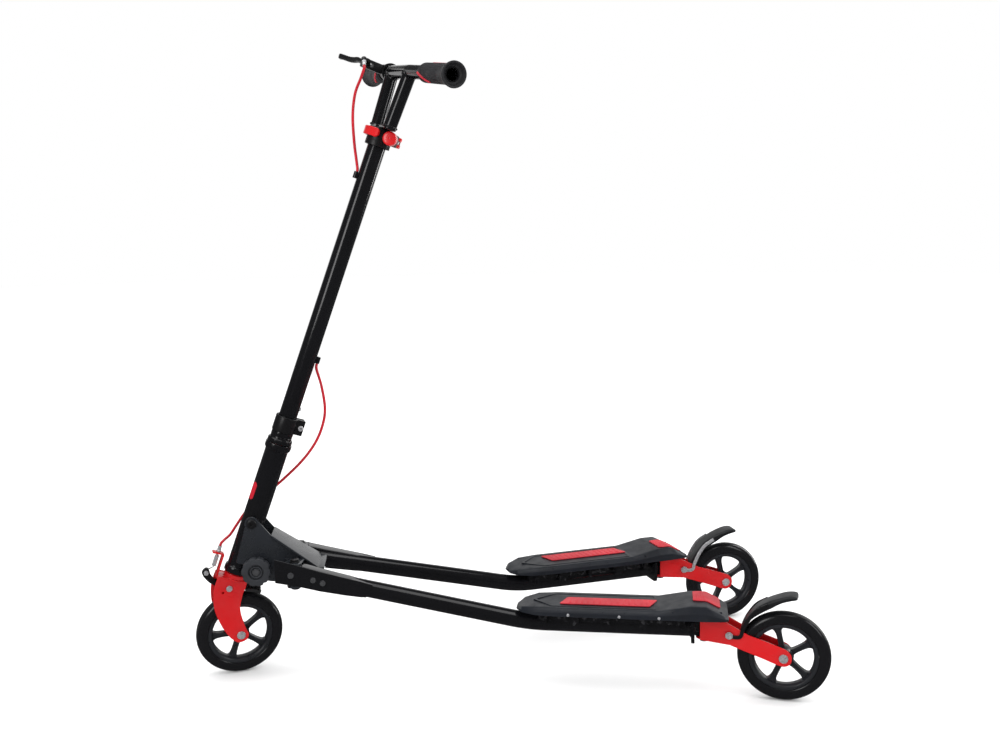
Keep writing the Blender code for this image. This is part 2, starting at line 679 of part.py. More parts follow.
def build_stem(home, looks):
    """Stem tube with its two cable bosses, lower collar, bolt and locating button."""
    low = RING_TOP + GAP
    inner = STEERER_RADIUS + GAP
    profile = [(inner, low), (STEM_RADIUS, low), (STEM_RADIUS, STEM_TOP), (inner, STEM_TOP)]
    shape = ring_lathe(profile, (0, 0, 0), (0, 0, 1), 24)
    front = block((-0.0210, -0.0045, FRONT_BOSS - 0.0060), (-STEM_RADIUS + 0.001, 0.0045, FRONT_BOSS + 0.0050))
    rear = block((STEM_RADIUS - 0.001, -0.0045, REAR_BOSS - 0.0050), (0.0220, 0.0045, REAR_BOSS + 0.0060))
    shape = join(shape, front, rear)
    button_hole = rod((0.005, 0, BUTTON_AT), (0.03, 0, BUTTON_AT), 0.0035 + GAP, 16)
    shape = cut(shape, button_hole)
    piece("stem_tube", shape, home, looks["gloss_black"], pivot=(0, 0, low))

    ring_in = STEM_RADIUS + GAP
    ring_out = 0.0190
    top = low + STEM_COLLAR_HEIGHT
    ring = ring_lathe([(ring_in, low), (ring_out, low), (ring_out, top), (ring_in, top)],
                      (0, 0, 0), (0, 0, 1), 24)
    ear = block((ring_out - 0.0015, -0.0085, low + 0.002), (0.0300, 0.0085, top - 0.002))
    slit = block((0.005, -0.0012, low - 0.01), (0.04, 0.0012, top + 0.01))
    bolt_at = low + STEM_COLLAR_HEIGHT / 2
    hole = rod((0.0247, -0.02, bolt_at), (0.0247, 0.02, bolt_at), 0.0025 + GAP, 16)
    piece("stem_collar", cut(join(ring, ear), slit, hole), home, looks["satin_black"], pivot=(0, 0, low))
    bolt = through_bolt((0.0247, 0, bolt_at), (0.0247, 1, bolt_at), 0.0025, 0.0046, 0.0034,
                        -0.0085 - GAP, 0.0085 + GAP)
    piece("collar_bolt", bolt, home, looks["steel"], pivot=(0.0247, 0, bolt_at), flat=True)
    button = turned([(0.0035, 0.0134), (0.0035, 0.0165), (0.0028, 0.0177)],
                    (0, 0, BUTTON_AT), (1, 0, 0), 16)
    piece("locating_button", button, home, looks["steel"], pivot=(0.0134, 0, BUTTON_AT))


def lower_cable_path():
    """From the boss on the back of the stem, past the right of the head, to the fork's cable stop."""
    return [(0.0188, 0.0000, REAR_BOSS - 0.0055), (0.0189, 0.0000, REAR_BOSS - 0.0090),
            (0.0220, 0.0000, 0.5580), (0.0390, 0.0000, 0.5330), (0.0570, 0.0020, 0.4980),
            (0.0630, 0.0050, 0.4670), (0.0610, 0.0085, 0.4340), (0.0500, 0.0150, 0.3960),
            (0.0265, 0.0235, 0.3480), (0.0060, 0.0290, 0.3160),
            (-0.0100, 0.0265, 0.2880), (-0.0200, 0.0175, 0.2660), (-0.0270, 0.0105, 0.2500),
            (-0.0345, 0.0045, 0.2420), (STOP_OFF + 0.0004, 0.0002, STOP_TOP + 0.0160),
            (STOP_OFF, 0.0000, STOP_TOP + 0.0134), (STOP_OFF, 0.0000, STOP_TOP + 0.0108)]


def build_front_brake(home, axle_at, arm_at, looks):
    """Front brake: lower cable, barrel, arm with its shoe, and the bolts."""
    cable = tube(smooth_path(lower_cable_path(), 2), CABLE_RADIUS, 6)
    piece("cable_lower", cable, home, looks["cable_red"], pivot=(0.0188, 0, REAR_BOSS - 0.0055))
    seat = STOP_TOP + GAP
    above = turned([(0.0040, seat), (0.0040, seat + 0.0030), (0.0031, seat + 0.0036), (0.0031, seat + 0.0100)],
                   (STOP_OFF, 0, 0), (0, 0, 1), 16)
    screw = rod((STOP_OFF, 0, seat + 0.001), (STOP_OFF, 0, 0.2120), 0.0020, 16)
    below = turned([(0.0032, 0.1950), (0.0036, 0.1960), (0.0036, 0.2130), (0.0028, 0.2140)],
                   (STOP_OFF, 0, 0), (0, 0, 1), 16)
    bore = rod((STOP_OFF, 0, 0.1800), (STOP_OFF, 0, 0.2060), 0.0023, 12)
    piece("cable_barrel", cut(join(above, screw, below), bore), home, looks["steel"],
          pivot=(STOP_OFF, 0, STOP_TOP))

    outline = [wheel_top_to_stem(point, axle_at) for point in (
        (-0.0170, 0.0213), (-0.0060, 0.0180), (0.0060, 0.0137), (0.0200, 0.0123), (0.0360, 0.0075),
        (0.0385, 0.0015), (0.0365, 0.0010), (0.0250, 0.0058), (0.0130, 0.0089), (0.0020, 0.0083),
        (-0.0080, 0.0087), (-0.0165, 0.0084), (-0.0250, 0.0105), (-0.0380, 0.0180), (-0.0480, 0.0265),
        (-0.0560, 0.0385), (-0.0560, 0.0455), (-0.0510, 0.0500), (-0.0455, 0.0485), (-0.0425, 0.0365),
        (-0.0340, 0.0265), (-0.0250, 0.0210))]
    anchor = wheel_top_to_stem((-0.0505, 0.0430), axle_at)
    holes = [rod((arm_at[0], -0.02, arm_at[1]), (arm_at[0], 0.02, arm_at[1]), BRAKE_BOLT_RADIUS + GAP, 16),
             rod((anchor[0], -0.02, anchor[1]), (anchor[0], 0.02, anchor[1]), 0.0022 + GAP, 12)]
    shape = cut(slab(outline, -0.0035, 0.0035), *holes)
    pivot = (arm_at[0], 0, arm_at[1])
    piece("brake_arm", shape, home, looks["satin_black"], pivot=pivot, flat=True)
    inner = WHEEL_RADIUS + SHOE_CLEARANCE
    arc = []
    for radius, angles in ((inner, (62, 68, 74, 81)), (inner + 0.0058, (81, 74, 68, 62))):
        for degrees in angles:
            angle = radians(degrees)
            arc.append(wheel_to_stem((radius * cos(angle), radius * sin(angle)), axle_at))
    piece("brake_shoe", slab(arc, -0.0100, 0.0100), home, looks["rubber"], pivot=pivot, flat=True)
    half = PLATE_INNER + PLATE_THICKNESS + GAP
    bolt = through_bolt((arm_at[0], 0, arm_at[1]), (arm_at[0], 1, arm_at[1]), BRAKE_BOLT_RADIUS,
                        0.0046, 0.0030, -half, half)
    piece("brake_pivot_bolt", bolt, home, looks["steel"], pivot=pivot, flat=True)
    bolt = through_bolt((anchor[0], 0, anchor[1]), (anchor[0], 1, anchor[1]), 0.0022, 0.0042, 0.0030,
                        -0.0035 - GAP, 0.0035 + GAP)
    wire = tube([(anchor[0] + 0.0036, 0.0052, anchor[1] + 0.0041),
                 (anchor[0] + 0.0052, 0.0052, anchor[1] + 0.0055),
                 (STOP_OFF - 0.0012, 0.0025, anchor[1] + 0.0095), (STOP_OFF, 0, anchor[1] + 0.0130),
                 (STOP_OFF, 0, 0.2000)], 0.0010, 8)
    piece("anchor_bolt", bolt, home, looks["steel"], pivot=pivot, flat=True)
    piece("brake_wire", wire, home, looks["steel"], pivot=(STOP_OFF, 0, 0.2000))


def bar_point(y):
    """Centre of the handlebar at a distance to the side, with its backsweep."""
    bent = max(abs(y) - STRUT_AT_BAR, 0.0)
    return Vector((bent * sin(BACKSWEEP) / cos(BACKSWEEP), y, BAR_AT))


def build_handlebar(home, looks):
    """Crossbar welded to two struts, a yoke and the post that slides in the stem."""
    post_radius = STEERER_RADIUS
    bar = tube([bar_point(y) for y in (-BAR_HALF, -0.0560, -0.0440, 0.0440, 0.0560, BAR_HALF)], BAR_RADIUS, 16)
    post = rod((0, 0, POST_LOW), (0, 0, YOKE_LOW + 0.004), post_radius, 20)
    struts = []
    for side in (-1, 1):
        struts.append(rod((0, side * STRUT_AT_YOKE, YOKE_LOW + 0.003), (0, side * STRUT_AT_BAR, BAR_AT),
                          STRUT_RADIUS, 14))
    half = STRUT_AT_YOKE + STRUT_RADIUS + 0.0015
    plan = round_corners([(-0.0125, -half), (0.0125, -half), (0.0125, half), (-0.0125, half)], 0.010, 4)
    yoke = slab(plan, YOKE_LOW, YOKE_LOW + YOKE_HEIGHT, axis="z")
    shape = join(bar, *struts)
    shape = join(shape, yoke, post)
    bores = []
    for side in (-1, 1):
        bores.append(rod(bar_point(side * (BAR_HALF + 0.0140)), bar_point(side * 0.0600),
                         BAR_RADIUS - BAR_WALL, 14))
    bores.append(rod((0, 0, POST_LOW - 0.01), (0, 0, YOKE_LOW - 0.02), post_radius - 0.0020, 14))
    piece("handlebar", cut(shape, *bores), home, looks["gloss_black"], pivot=(0, 0, YOKE_LOW))

    for side, name in ((-1, "grip_left"), (1, "grip_right")):
        start = bar_point(side * GRIP_INNER_END)
        along = bar_point(side * 0.2) - start
        inner = BAR_RADIUS + GAP
        length = GRIP_LENGTH
        profile = [(inner, 0.0), (0.0172, 0.0), (0.0178, 0.0025), (GRIP_RADIUS, 0.0060),
                   (GRIP_RADIUS, 0.0500), (GRIP_RADIUS + 0.0006, length - 0.0330),
                   (GRIP_RADIUS + 0.0022, length - 0.0140), (GRIP_FLARE, length - 0.0022),
                   (GRIP_FLARE - 0.0008, length), (GRIP_FLARE - 0.0032, length - 0.0008),
                   (0.0128, length - 0.0072), (inner, length - 0.0076)]
        piece(name, ring_lathe(profile, start, along, 20), home, looks["rubber"], pivot=start)


def build_brake_lever(home, looks):
    """Brake lever, its bracket and cable adjuster in front of the right grip, and the upper cable."""
    low, high = BAR_AT - 0.0080, BAR_AT + 0.0070
    lever_low, lever_high = BAR_AT - 0.0035, BAR_AT + 0.0025
    start, end = bar_point(0.0640), bar_point(0.0775)
    centre = (start + end) / 2
    along = (end - start).normalized()
    half = (end - start).length / 2
    ring = ring_lathe([(BAR_RADIUS + GAP, -half), (0.0150, -half), (0.0150, half), (BAR_RADIUS + GAP, half)],
                      centre, along, 20)
    pin_at = (-0.0400, 0.0740)
    plan = round_corners([(-0.0490, 0.0630), (-0.0120, 0.0645), (-0.0120, 0.0770), (-0.0380, 0.0795),
                          (-0.0490, 0.0790)], 0.004, 2)
    body = slab(plan, low, high, axis="z")
    slot = block((-0.0600, 0.0600, lever_low - GAP), (-0.0300, 0.0900, lever_high + GAP))
    pin = rod((*pin_at, low + 0.001), (*pin_at, high - 0.001), 0.0022, 12)
    shape = join(ring, body)
    aim_from, aim_to = Vector(CABLE_HOOD), Vector(CABLE_START)
    aim = (aim_to - aim_from).normalized()
    holder = rod(aim_from - aim * 0.0030, aim_from + aim * 0.0082, 0.0052, 14)
    room = rod(aim_from + aim * 0.0082, aim_from + aim * 0.0300, 0.0048, 12)
    socket = rod(aim_from, aim_from + aim * 0.0300, 0.0022 + GAP, 12)
    shape = join(cut(join(shape, holder), room, socket, slot), pin)
    piece("lever_bracket", shape, home, looks["satin_black"], pivot=centre)

    blade = [(-0.0345, 0.0690), (-0.0335, 0.0780), (-0.0385, 0.0900), (-0.0440, 0.1150), (-0.0495, 0.1400),
             (-0.0545, 0.1640), (-0.0555, 0.1740), (-0.0600, 0.1780), (-0.0650, 0.1740), (-0.0620, 0.1600),
             (-0.0560, 0.1350), (-0.0510, 0.1100), (-0.0480, 0.0900), (-0.0465, 0.0740), (-0.0440, 0.0690)]
    lever = slab(blade, lever_low, lever_high, axis="z")
    hole = rod((*pin_at, low), (*pin_at, high), 0.0022 + GAP, 12)
    piece("brake_lever", cut(lever, hole), home, looks["satin_black"], pivot=(*pin_at, lever_low), flat=True)

    profile = [(0.0022, 0.0020), (0.0022, 0.0085), (0.0038, 0.0085), (0.0038, 0.0125), (0.0030, 0.0130),
               (0.0030, 0.0190)]
    piece("cable_adjuster", turned(profile, aim_from, aim, 16), home, looks["steel"], pivot=aim_from)
    path = [aim_from + aim * reach for reach in (0.0195, 0.0220, 0.0250)]
    path += [Vector(point) for point in UPPER_CABLE]
    cable = tube(smooth_path(path, 3), CABLE_RADIUS, 6)
    piece("cable_upper", cable, home, looks["cable_red"], pivot=(-0.0180, 0, FRONT_BOSS + 0.0055))


def build_clamp(home, looks):
    """Top clamp of the stem with its quick-release bolt and lever."""
    low, high = CLAMP_LOW, CLAMP_LOW + CLAMP_HEIGHT
    shoulder = STEM_TOP + GAP
    wide, narrow = STEM_RADIUS + GAP, STEERER_RADIUS + GAP
    ring = ring_lathe([(wide, low), (CLAMP_RADIUS, low), (CLAMP_RADIUS, high), (narrow, high),
                       (narrow, shoulder), (wide, shoulder)], (0, 0, 0), (0, 0, 1), 24)
    at = low + CLAMP_BOLT_RISE
    ear = block((CLAMP_RADIUS - 0.002, -CLAMP_EAR_HALF, at - 0.0095),
                (CLAMP_BOLT_OFF + 0.0075, CLAMP_EAR_HALF, at + 0.0095))
    slit = block((0.005, -0.0012, low - 0.01), (0.05, 0.0012, high + 0.01))
    hole = rod((CLAMP_BOLT_OFF, -0.03, at), (CLAMP_BOLT_OFF, 0.03, at), 0.0030 + GAP, 16)
    piece("stem_clamp", cut(join(ring, ear), slit, hole), home, looks["satin_black"], pivot=(0, 0, low))

    seat = CLAMP_EAR_HALF + GAP
    eye_y = seat + 0.0105
    knob = turned([(0.0055, seat), (0.0055, seat + 0.0056), (RED_CAP_RADIUS, seat + 0.0060),
                   (RED_CAP_RADIUS, seat + 0.0195), (0.0100, seat + 0.0210)],
                  (CLAMP_BOLT_OFF, 0, at), (0, -1, 0), 18)
    shank = rod((CLAMP_BOLT_OFF, -seat - 0.002, at), (CLAMP_BOLT_OFF, eye_y, at), 0.0028, 16)
    eye = rod((CLAMP_BOLT_OFF, eye_y, at - 0.0030), (CLAMP_BOLT_OFF, eye_y, at + 0.0030), 0.0052, 14)
    hole = rod((CLAMP_BOLT_OFF, eye_y, at - 0.02), (CLAMP_BOLT_OFF, eye_y, at + 0.02), 0.0022 + GAP, 16)
    piece("clamp_bolt", cut(join(knob, shank, eye), hole), home, looks["red_paint"],
          pivot=(CLAMP_BOLT_OFF, 0, at))

    cam_radius = 0.0100
    cam = rod((CLAMP_BOLT_OFF, eye_y, at - 0.0085), (CLAMP_BOLT_OFF, eye_y, at + 0.0085), cam_radius, 18)
    line = [(CLAMP_BOLT_OFF, eye_y + 0.0080), (0.0120, 0.0312), (0.0000, 0.0287), (-0.0110, 0.0240),
            (-0.0195, 0.0160), (-0.0247, 0.0050), (-0.0243, -0.0070), (-0.0183, -0.0180),
            (-0.0080, -0.0258), (0.0035, -0.0300)]
    paddle_top = high - 0.0005
    paddle_low = paddle_top - 0.0170
    outer = []
    inner = []
    for k, point in enumerate(line):
        ahead = Vector(line[min(k + 1, len(line) - 1)]) - Vector(line[max(k - 1, 0)])
        normal = Vector((-ahead.y, ahead.x)).normalized()
        thick = 0.0024
        outer.append(tuple(Vector(point) + normal * thick))
        inner.append(tuple(Vector(point) - normal * thick))
    paddle = slab(outer + inner[::-1], paddle_low, paddle_top, axis="z")
    slot = block((0.0050, 0, at - 0.0030 - GAP), (CLAMP_BOLT_OFF + 0.02, eye_y + 0.0058, at + 0.0030 + GAP))
    pin = rod((CLAMP_BOLT_OFF, eye_y, at - 0.0080), (CLAMP_BOLT_OFF, eye_y, at + 0.0080), 0.0022, 16)
    lever = join(cut(join(cam, paddle), slot), pin)
    piece("clamp_lever", lever, home, looks["red_paint"], pivot=(CLAMP_BOLT_OFF, eye_y, at))


def arm_path():
    """Centre line of the right swing arm from its nose to its end, from the swing axis."""
    points = [ARM_NOSE, ARM_START]
    before, corner, after = Vector(ARM_START), Vector(ARM_BEND), Vector(ARM_END)
    start = corner + (before - corner).normalized() * 0.030
    end = corner + (after - corner).normalized() * 0.030
    for n in range(6):
        t = n / 5
        points.append(tuple(start * (1 - t) ** 2 + corner * 2 * t * (1 - t) + end * t**2))
    points.append(ARM_END)
    return [(x - SWING_X, y - SWING_Y, z) for x, y, z in points]


def deck_section(x, half, top, low, inset):
    middle = low + (top - low) * 0.55
    return [(x, -half, low), (x, -half, middle), (x, -half + inset, top),
            (x, half - inset, top), (x, half, middle), (x, half, low)]


def tail_slope():
    """How steeply the deck's top falls away at its tail."""
    return atan2(DECK_KICK_TOP - DECK_TAIL_TOP, DECK_TAIL - DECK_TAIL_START)


def rear_pad_outline():
    """Side view of the pad that bends over the edge where the tail falls away."""
    slope = tail_slope()
    lines = []
    for off in (GAP, GAP + PAD_THICKNESS):
        bend = (DECK_TAIL_START + off * tan(slope / 2), DECK_KICK_TOP + off)
        end = (bend[0] + PAD_OVER_TAIL * cos(slope), bend[1] - PAD_OVER_TAIL * sin(slope))
        lines.append([(-0.0180, DECK_KICK_TOP + off), bend, end])
    return lines[0] + lines[1][::-1]


def deck_rows():
    """Half width and height of the deck along its length."""
    return [(DECK_NOSE, 0.30, DECK_TOP - 0.0095), (DECK_NOSE + 0.010, 0.66, DECK_TOP - 0.0050),
            (DECK_NOSE + 0.032, 0.92, DECK_TOP - 0.0008), (DECK_NOSE + 0.066, 1.0, DECK_TOP),
            (DECK_KICK_START, 1.0, DECK_TOP),
            (DECK_KICK_START + DECK_KICK_LENGTH, 1.0, DECK_KICK_TOP),
            (DECK_TAIL_START, 1.0, DECK_KICK_TOP),
            (DECK_TAIL - 0.0080, 0.95, DECK_TAIL_TOP + 0.0080 * tan(tail_slope())),
            (DECK_TAIL, 0.86, DECK_TAIL_TOP)]


def arm_front(side):
    """Deep flat-sided front of a swing arm, from its nose to where it runs into the round tube."""
    loops = []
    for x, y, z, tall, face in ((-0.0310, 0.0, 0.1985, 0.0190, ARM_FACE), (0.0, 0.0, 0.1915, 0.0185, ARM_FACE),
                                (0.0400, 0.0046, 0.1812, 0.0168, ARM_FACE), (0.1150, 0.0131, 0.1644, 0.0134, 0.0130)):
        inner = side * (y - ARM_BACK)
        outer = side * (y + face)
        loops.append([(x, inner, z - tall), (x, outer, z - tall), (x, outer, z + tall), (x, inner, z + tall)])
    return skin(loops)


def build_arm(side, tag, home, looks):
    """One swing arm with its deck and pads. Returns the space of its caster."""
    path = [(x, side * y, z) for x, y, z in arm_path()]
    heading = atan2(ARM_END[1] - ARM_BEND[1], ARM_END[0] - ARM_BEND[0])
    swivel = (SWIVEL_X - SWING_X, side * (SWIVEL_Y - SWING_Y), 0.0)
    deck = space(f"{tag}_deck_space", home, swivel, [(side * heading, "Z")])
    bpy.context.view_layer.update()
    to_arm = deck.matrix_local.copy()
    nose, start = Vector(path[0]), Vector(path[1])
    bore = [nose + (nose - start).normalized() * 0.02] + path[:-1]
    bore.append(Vector(path[-1]).lerp(Vector(path[-2]), 0.1))
    shape = join(tube(path, ARM_RADIUS, 16), arm_front(side))
    shape = cut(shape, tube(bore, ARM_RADIUS - ARM_WALL, 10))
    barrel = rod((0, 0, EAR_BOTTOM + GAP), (0, 0, EAR_TOP - GAP), BARREL_RADIUS, 16)
    plate = block((-0.0205, -0.0210, 0.0860), (-0.0150, 0.0210, 0.1245))
    link = block((-0.0160, -0.0085, HOUSING_LOW + 0.0010), (-0.0040, 0.0085, HOUSING_TOP - 0.0010))
    housing = rod((0, 0, HOUSING_LOW), (0, 0, HOUSING_TOP), HOUSING_RADIUS, 16)
    ceiling = DECK_TOP - DECK_WALL - GAP
    saddles = [block((x - 0.006, -0.0260, 0.1110), (x + 0.006, 0.0260, ceiling))
               for x in (KEEL_RIBS[1], KEEL_RIBS[3])]
    keel_top = DECK_LOW - GAP
    keel = block((KEEL_FRONT, -0.0125, 0.1110), (KEEL_REAR, 0.0125, keel_top))
    ribs = [block((x - 0.0018, -0.0260, 0.1110), (x + 0.0018, 0.0260, keel_top))
            for x in (KEEL_RIBS[0], KEEL_RIBS[2], KEEL_RIBS[4])]
    fittings = [plate, link, housing, keel] + saddles + ribs
    for shape_part in fittings:
        shape_part.transform(to_arm)
    shape = join(shape, barrel, *fittings)
    over = block((-0.05, -0.05, EAR_TOP - GAP), (0.03, 0.05, 0.25))
    under = block((-0.05, -0.05, 0.10), (0.03, 0.05, EAR_BOTTOM + GAP))
    bolt_hole = rod((0, 0, 0.1), (0, 0, 0.25), SWING_BOLT_RADIUS + GAP, 12)
    swivel_hole = rod((0, 0, 0.08), (0, 0, 0.13), SWIVEL_BOLT_RADIUS + GAP, 12)
    swivel_hole.transform(to_arm)
    shape = cut(shape, over, under, bolt_hole, swivel_hole)
    piece(f"{tag}_arm", shape, home, looks["gloss_black"], pivot=(0, 0, EAR_BOTTOM))

    outer = []
    inner = []
    for x, share, top in deck_rows():
        outer.append(deck_section(x, DECK_HALF * share, top, DECK_LOW, 0.0055))
        x_in = min(max(x, DECK_NOSE + DECK_WALL), DECK_TAIL - DECK_WALL)
        inner.append(deck_section(x_in, DECK_HALF * share - DECK_WALL, top - DECK_WALL,
                                  DECK_LOW - 0.01, 0.0045))
    inner[0] = deck_section(DECK_NOSE + 0.0050, DECK_HALF * 0.30, DECK_TOP - 0.0135, DECK_LOW - 0.01, 0.0045)
    shell = cut(skin(outer), skin(inner))
    ribs = [block((x - 0.0010, -DECK_HALF + 0.0015, DECK_LOW + 0.001),
                  (x + 0.0010, DECK_HALF - 0.0015, DECK_TOP - 0.002))
            for x in (-0.2300, -0.1600, -0.1250)]
    shell = join(shell, *ribs)
    piece(f"{tag}_deck", shell, deck, looks["deck_plastic"], flat=True)
    top = DECK_TOP + GAP
    plan = [(-0.2300, side * 0.0210), (-0.2190, side * -0.0100), (-0.0740, side * -0.0100),
            (-0.0860, side * 0.0210)]
    pad = slab(round_corners(plan, 0.003, 2), top, top + PAD_THICKNESS, axis="z")
    piece(f"{tag}_front_pad", pad, deck, looks["pad_red"], pivot=(-0.16, 0, top), flat=True)
    edges = sorted((side * 0.0120, side * -0.0330))
    pad = slab(rear_pad_outline(), *edges)
    piece(f"{tag}_rear_pad", pad, deck, looks["pad_red"], pivot=(0, 0, DECK_KICK_TOP + GAP), flat=True)
    bolt_low = HOUSING_LOW - GAP - YOKE_EAR - GAP
    bolt_high = HOUSING_TOP + GAP + YOKE_EAR + GAP
    bolt = through_bolt((0, 0, 0), (0, 0, 1), SWIVEL_BOLT_RADIUS, 0.0078, 0.0045, bolt_low, bolt_high)
    piece(f"{tag}_swivel_bolt", bolt, deck, looks["steel"], pivot=(0, 0, HOUSING_LOW), flat=True)
    return swivel, heading


def from_axle(point):
    """From (back, up) of a rear axle to the caster's own (back, up)."""
    return (CASTER_TRAIL + point[0], WHEEL_TOP - WHEEL_RADIUS + point[1])


def over_wheel(point):
    """From (degrees above the rear of the wheel, distance off its tyre) to the caster's own (back, up)."""
    degrees, off = point
    reach = WHEEL_RADIUS + off
    return from_axle((reach * cos(radians(degrees)), reach * sin(radians(degrees))))


def build_caster(tag, home, looks):
    """Plate fork on the swivel, with its wheel, foot-brake fender and stay."""
    low = HOUSING_LOW - GAP - YOKE_EAR
    high = HOUSING_TOP + GAP + YOKE_EAR
    outline = [(PLATE_FRONT, low + 0.001), (PLATE_FRONT, high - 0.001), (WEB_X + 0.0140, high)]
    outline += [from_axle(point) for point in (
        (-0.0540, 0.0335), (-0.0030, 0.0170), (0.0070, 0.0120), (0.0125, 0.0030), (0.0110, -0.0070),
        (0.0040, -0.0125), (-0.0060, -0.0122), (-0.0555, 0.0055))]
    outline += [(WEB_X + 0.0210, low - 0.0037)]
    half = PLATE_INNER + PLATE_THICKNESS
    plates = [slab(outline, -half, -PLATE_INNER), slab(outline, PLATE_INNER, half)]
    web = block((WEB_X, -half + 0.0005, low), (WEB_X + WEB_THICKNESS, half - 0.0005, high))
    ears = []
    for under in (low, HOUSING_TOP + GAP):
        plan = []
        for degrees in (90, 120, 150, 180, 210, 240, 270):
            angle = radians(degrees)
            plan.append((0.0128 * cos(angle), 0.0128 * sin(angle)))
        plan += [(WEB_X + 0.002, -half + 0.0008), (WEB_X + 0.002, half - 0.0008)]
        ears.append(slab(plan, under, under + YOKE_EAR, axis="z"))
    brake_at = over_wheel(BRAKE_PIVOT)
    axle_at = from_axle((0, 0))
    shape = join(web, *plates)
    shape = join(shape, *ears)
    brake_hole = BRAKE_PIVOT_RADIUS + GAP
    holes = [rod((axle_at[0], -0.03, axle_at[1]), (axle_at[0], 0.03, axle_at[1]), AXLE_RADIUS + GAP, 12),
             rod((brake_at[0], -0.03, brake_at[1]), (brake_at[0], 0.03, brake_at[1]), brake_hole, 16),
             rod((0, 0, 0.08), (0, 0, 0.14), SWIVEL_BOLT_RADIUS + GAP, 12)]
    piece(f"{tag}_caster_fork", cut(shape, *holes), home, looks["red_paint"],
          pivot=(0, 0, HOUSING_LOW), flat=True)
    wheel_home = space(f"{tag}_wheel_space", home, (axle_at[0], 0, axle_at[1]))
    axle_bolt(f"{tag}_axle", wheel_home, looks, half)
    bolt = through_bolt((brake_at[0], 0, brake_at[1]), (brake_at[0], 1, brake_at[1]), BRAKE_PIVOT_RADIUS,
                        0.0056, 0.0034, -half - GAP, half + GAP)
    piece(f"{tag}_brake_pivot", bolt, home, looks["steel"], pivot=(brake_at[0], 0, brake_at[1]), flat=True)

    upper = [(150.0, 0.0056), (142.0, 0.0078), (133.4, 0.0108), (119.5, 0.0164), (105.4, 0.0206),
             (91.0, 0.0264), (82.0, 0.0315), (77.0, 0.0338), (74.5, 0.0325)]
    lower = [(73.8, 0.0290), (75.5, 0.0262), (81.8, 0.0210), (93.7, 0.0157), (104.0, 0.0100),
             (114.3, 0.0068), (128.0, 0.0052), (140.0, 0.0036), (150.0, 0.0030)]
    outline = [over_wheel(point) for point in upper + lower]
    width = 0.0165
    body = slab(outline, -width, width)
    hollow = [(139.0, 0.0056), (133.4, 0.0076), (119.5, 0.0132), (105.4, 0.0174), (91.0, 0.0230),
              (84.0, 0.0268), (87.0, 0.0120), (100.0, -0.0060), (118.2, -0.0090), (139.0, -0.0060)]
    hollow = slab([over_wheel(point) for point in hollow], -width + 0.0022, width - 0.0022)
    narrow = []
    for side in (-1, 1):
        near = from_axle((-0.0800, 0.0500))
        far = from_axle((-0.0420, 0.0500))
        narrow.append(slab([(near[0], side * 0.0105), (far[0], side * 0.0170), (far[0], side * 0.0300),
                            (near[0], side * 0.0300)], 0.10, 0.20, axis="z"))
    pad = [(128.5, 0.0114), (117.5, 0.0156), (118.5, 0.0084), (127.5, 0.0070)]
    pad = slab([over_wheel(point) for point in pad], -0.0070, 0.0070)
    shape = join(cut(body, hollow), pad)
    shape = cut(shape, *narrow)
    pivot = (brake_at[0], 0, brake_at[1])
    piece(f"{tag}_fender", shape, home, looks["deck_plastic"], pivot=pivot, flat=True)

    line = [over_wheel(point) for point in (
        BRAKE_PIVOT, (154.6, 0.0147), (148.4, 0.0117), (142.0, 0.0100), (133.4, 0.0128), (125.7, 0.0159))]
    outer = []
    inner = []
    for k, point in enumerate(line):
        ahead = Vector(line[min(k + 1, len(line) - 1)]) - Vector(line[max(k - 1, 0)])
        normal = Vector((-ahead.y, ahead.x)).normalized()
        outer.append(tuple(Vector(point) + normal * 0.0016))
        inner.append(tuple(Vector(point) - normal * 0.0016))
    strip = slab(outer + inner[::-1], -0.0070, 0.0070)
    eye = rod((brake_at[0], -0.0090, brake_at[1]), (brake_at[0], 0.0090, brake_at[1]), 0.0062, 12)
    hole = rod((brake_at[0], -0.03, brake_at[1]), (brake_at[0], 0.03, brake_at[1]), brake_hole, 16)
    piece(f"{tag}_fender_stay", cut(join(strip, eye), hole), home, looks["steel"], pivot=pivot, flat=True)
    return wheel_home


def centre_on_floor(top):
    """Move the top empty so that the bounding box's bottom centre is the origin."""
    bpy.context.view_layer.update()
    graph = bpy.context.evaluated_depsgraph_get()
    low = Vector((1e9, 1e9, 1e9))
    high = -low
    for obj in bpy.data.objects:
        if obj.type != "MESH":
            continue
        for vertex in obj.evaluated_get(graph).data.vertices:
            point = obj.matrix_world @ vertex.co
            low = Vector(map(min, low, point))
            high = Vector(map(max, high, point))
    top.location = (-(low.x + high.x) / 2, -(low.y + high.y) / 2, -low.z)
    bpy.context.view_layer.update()


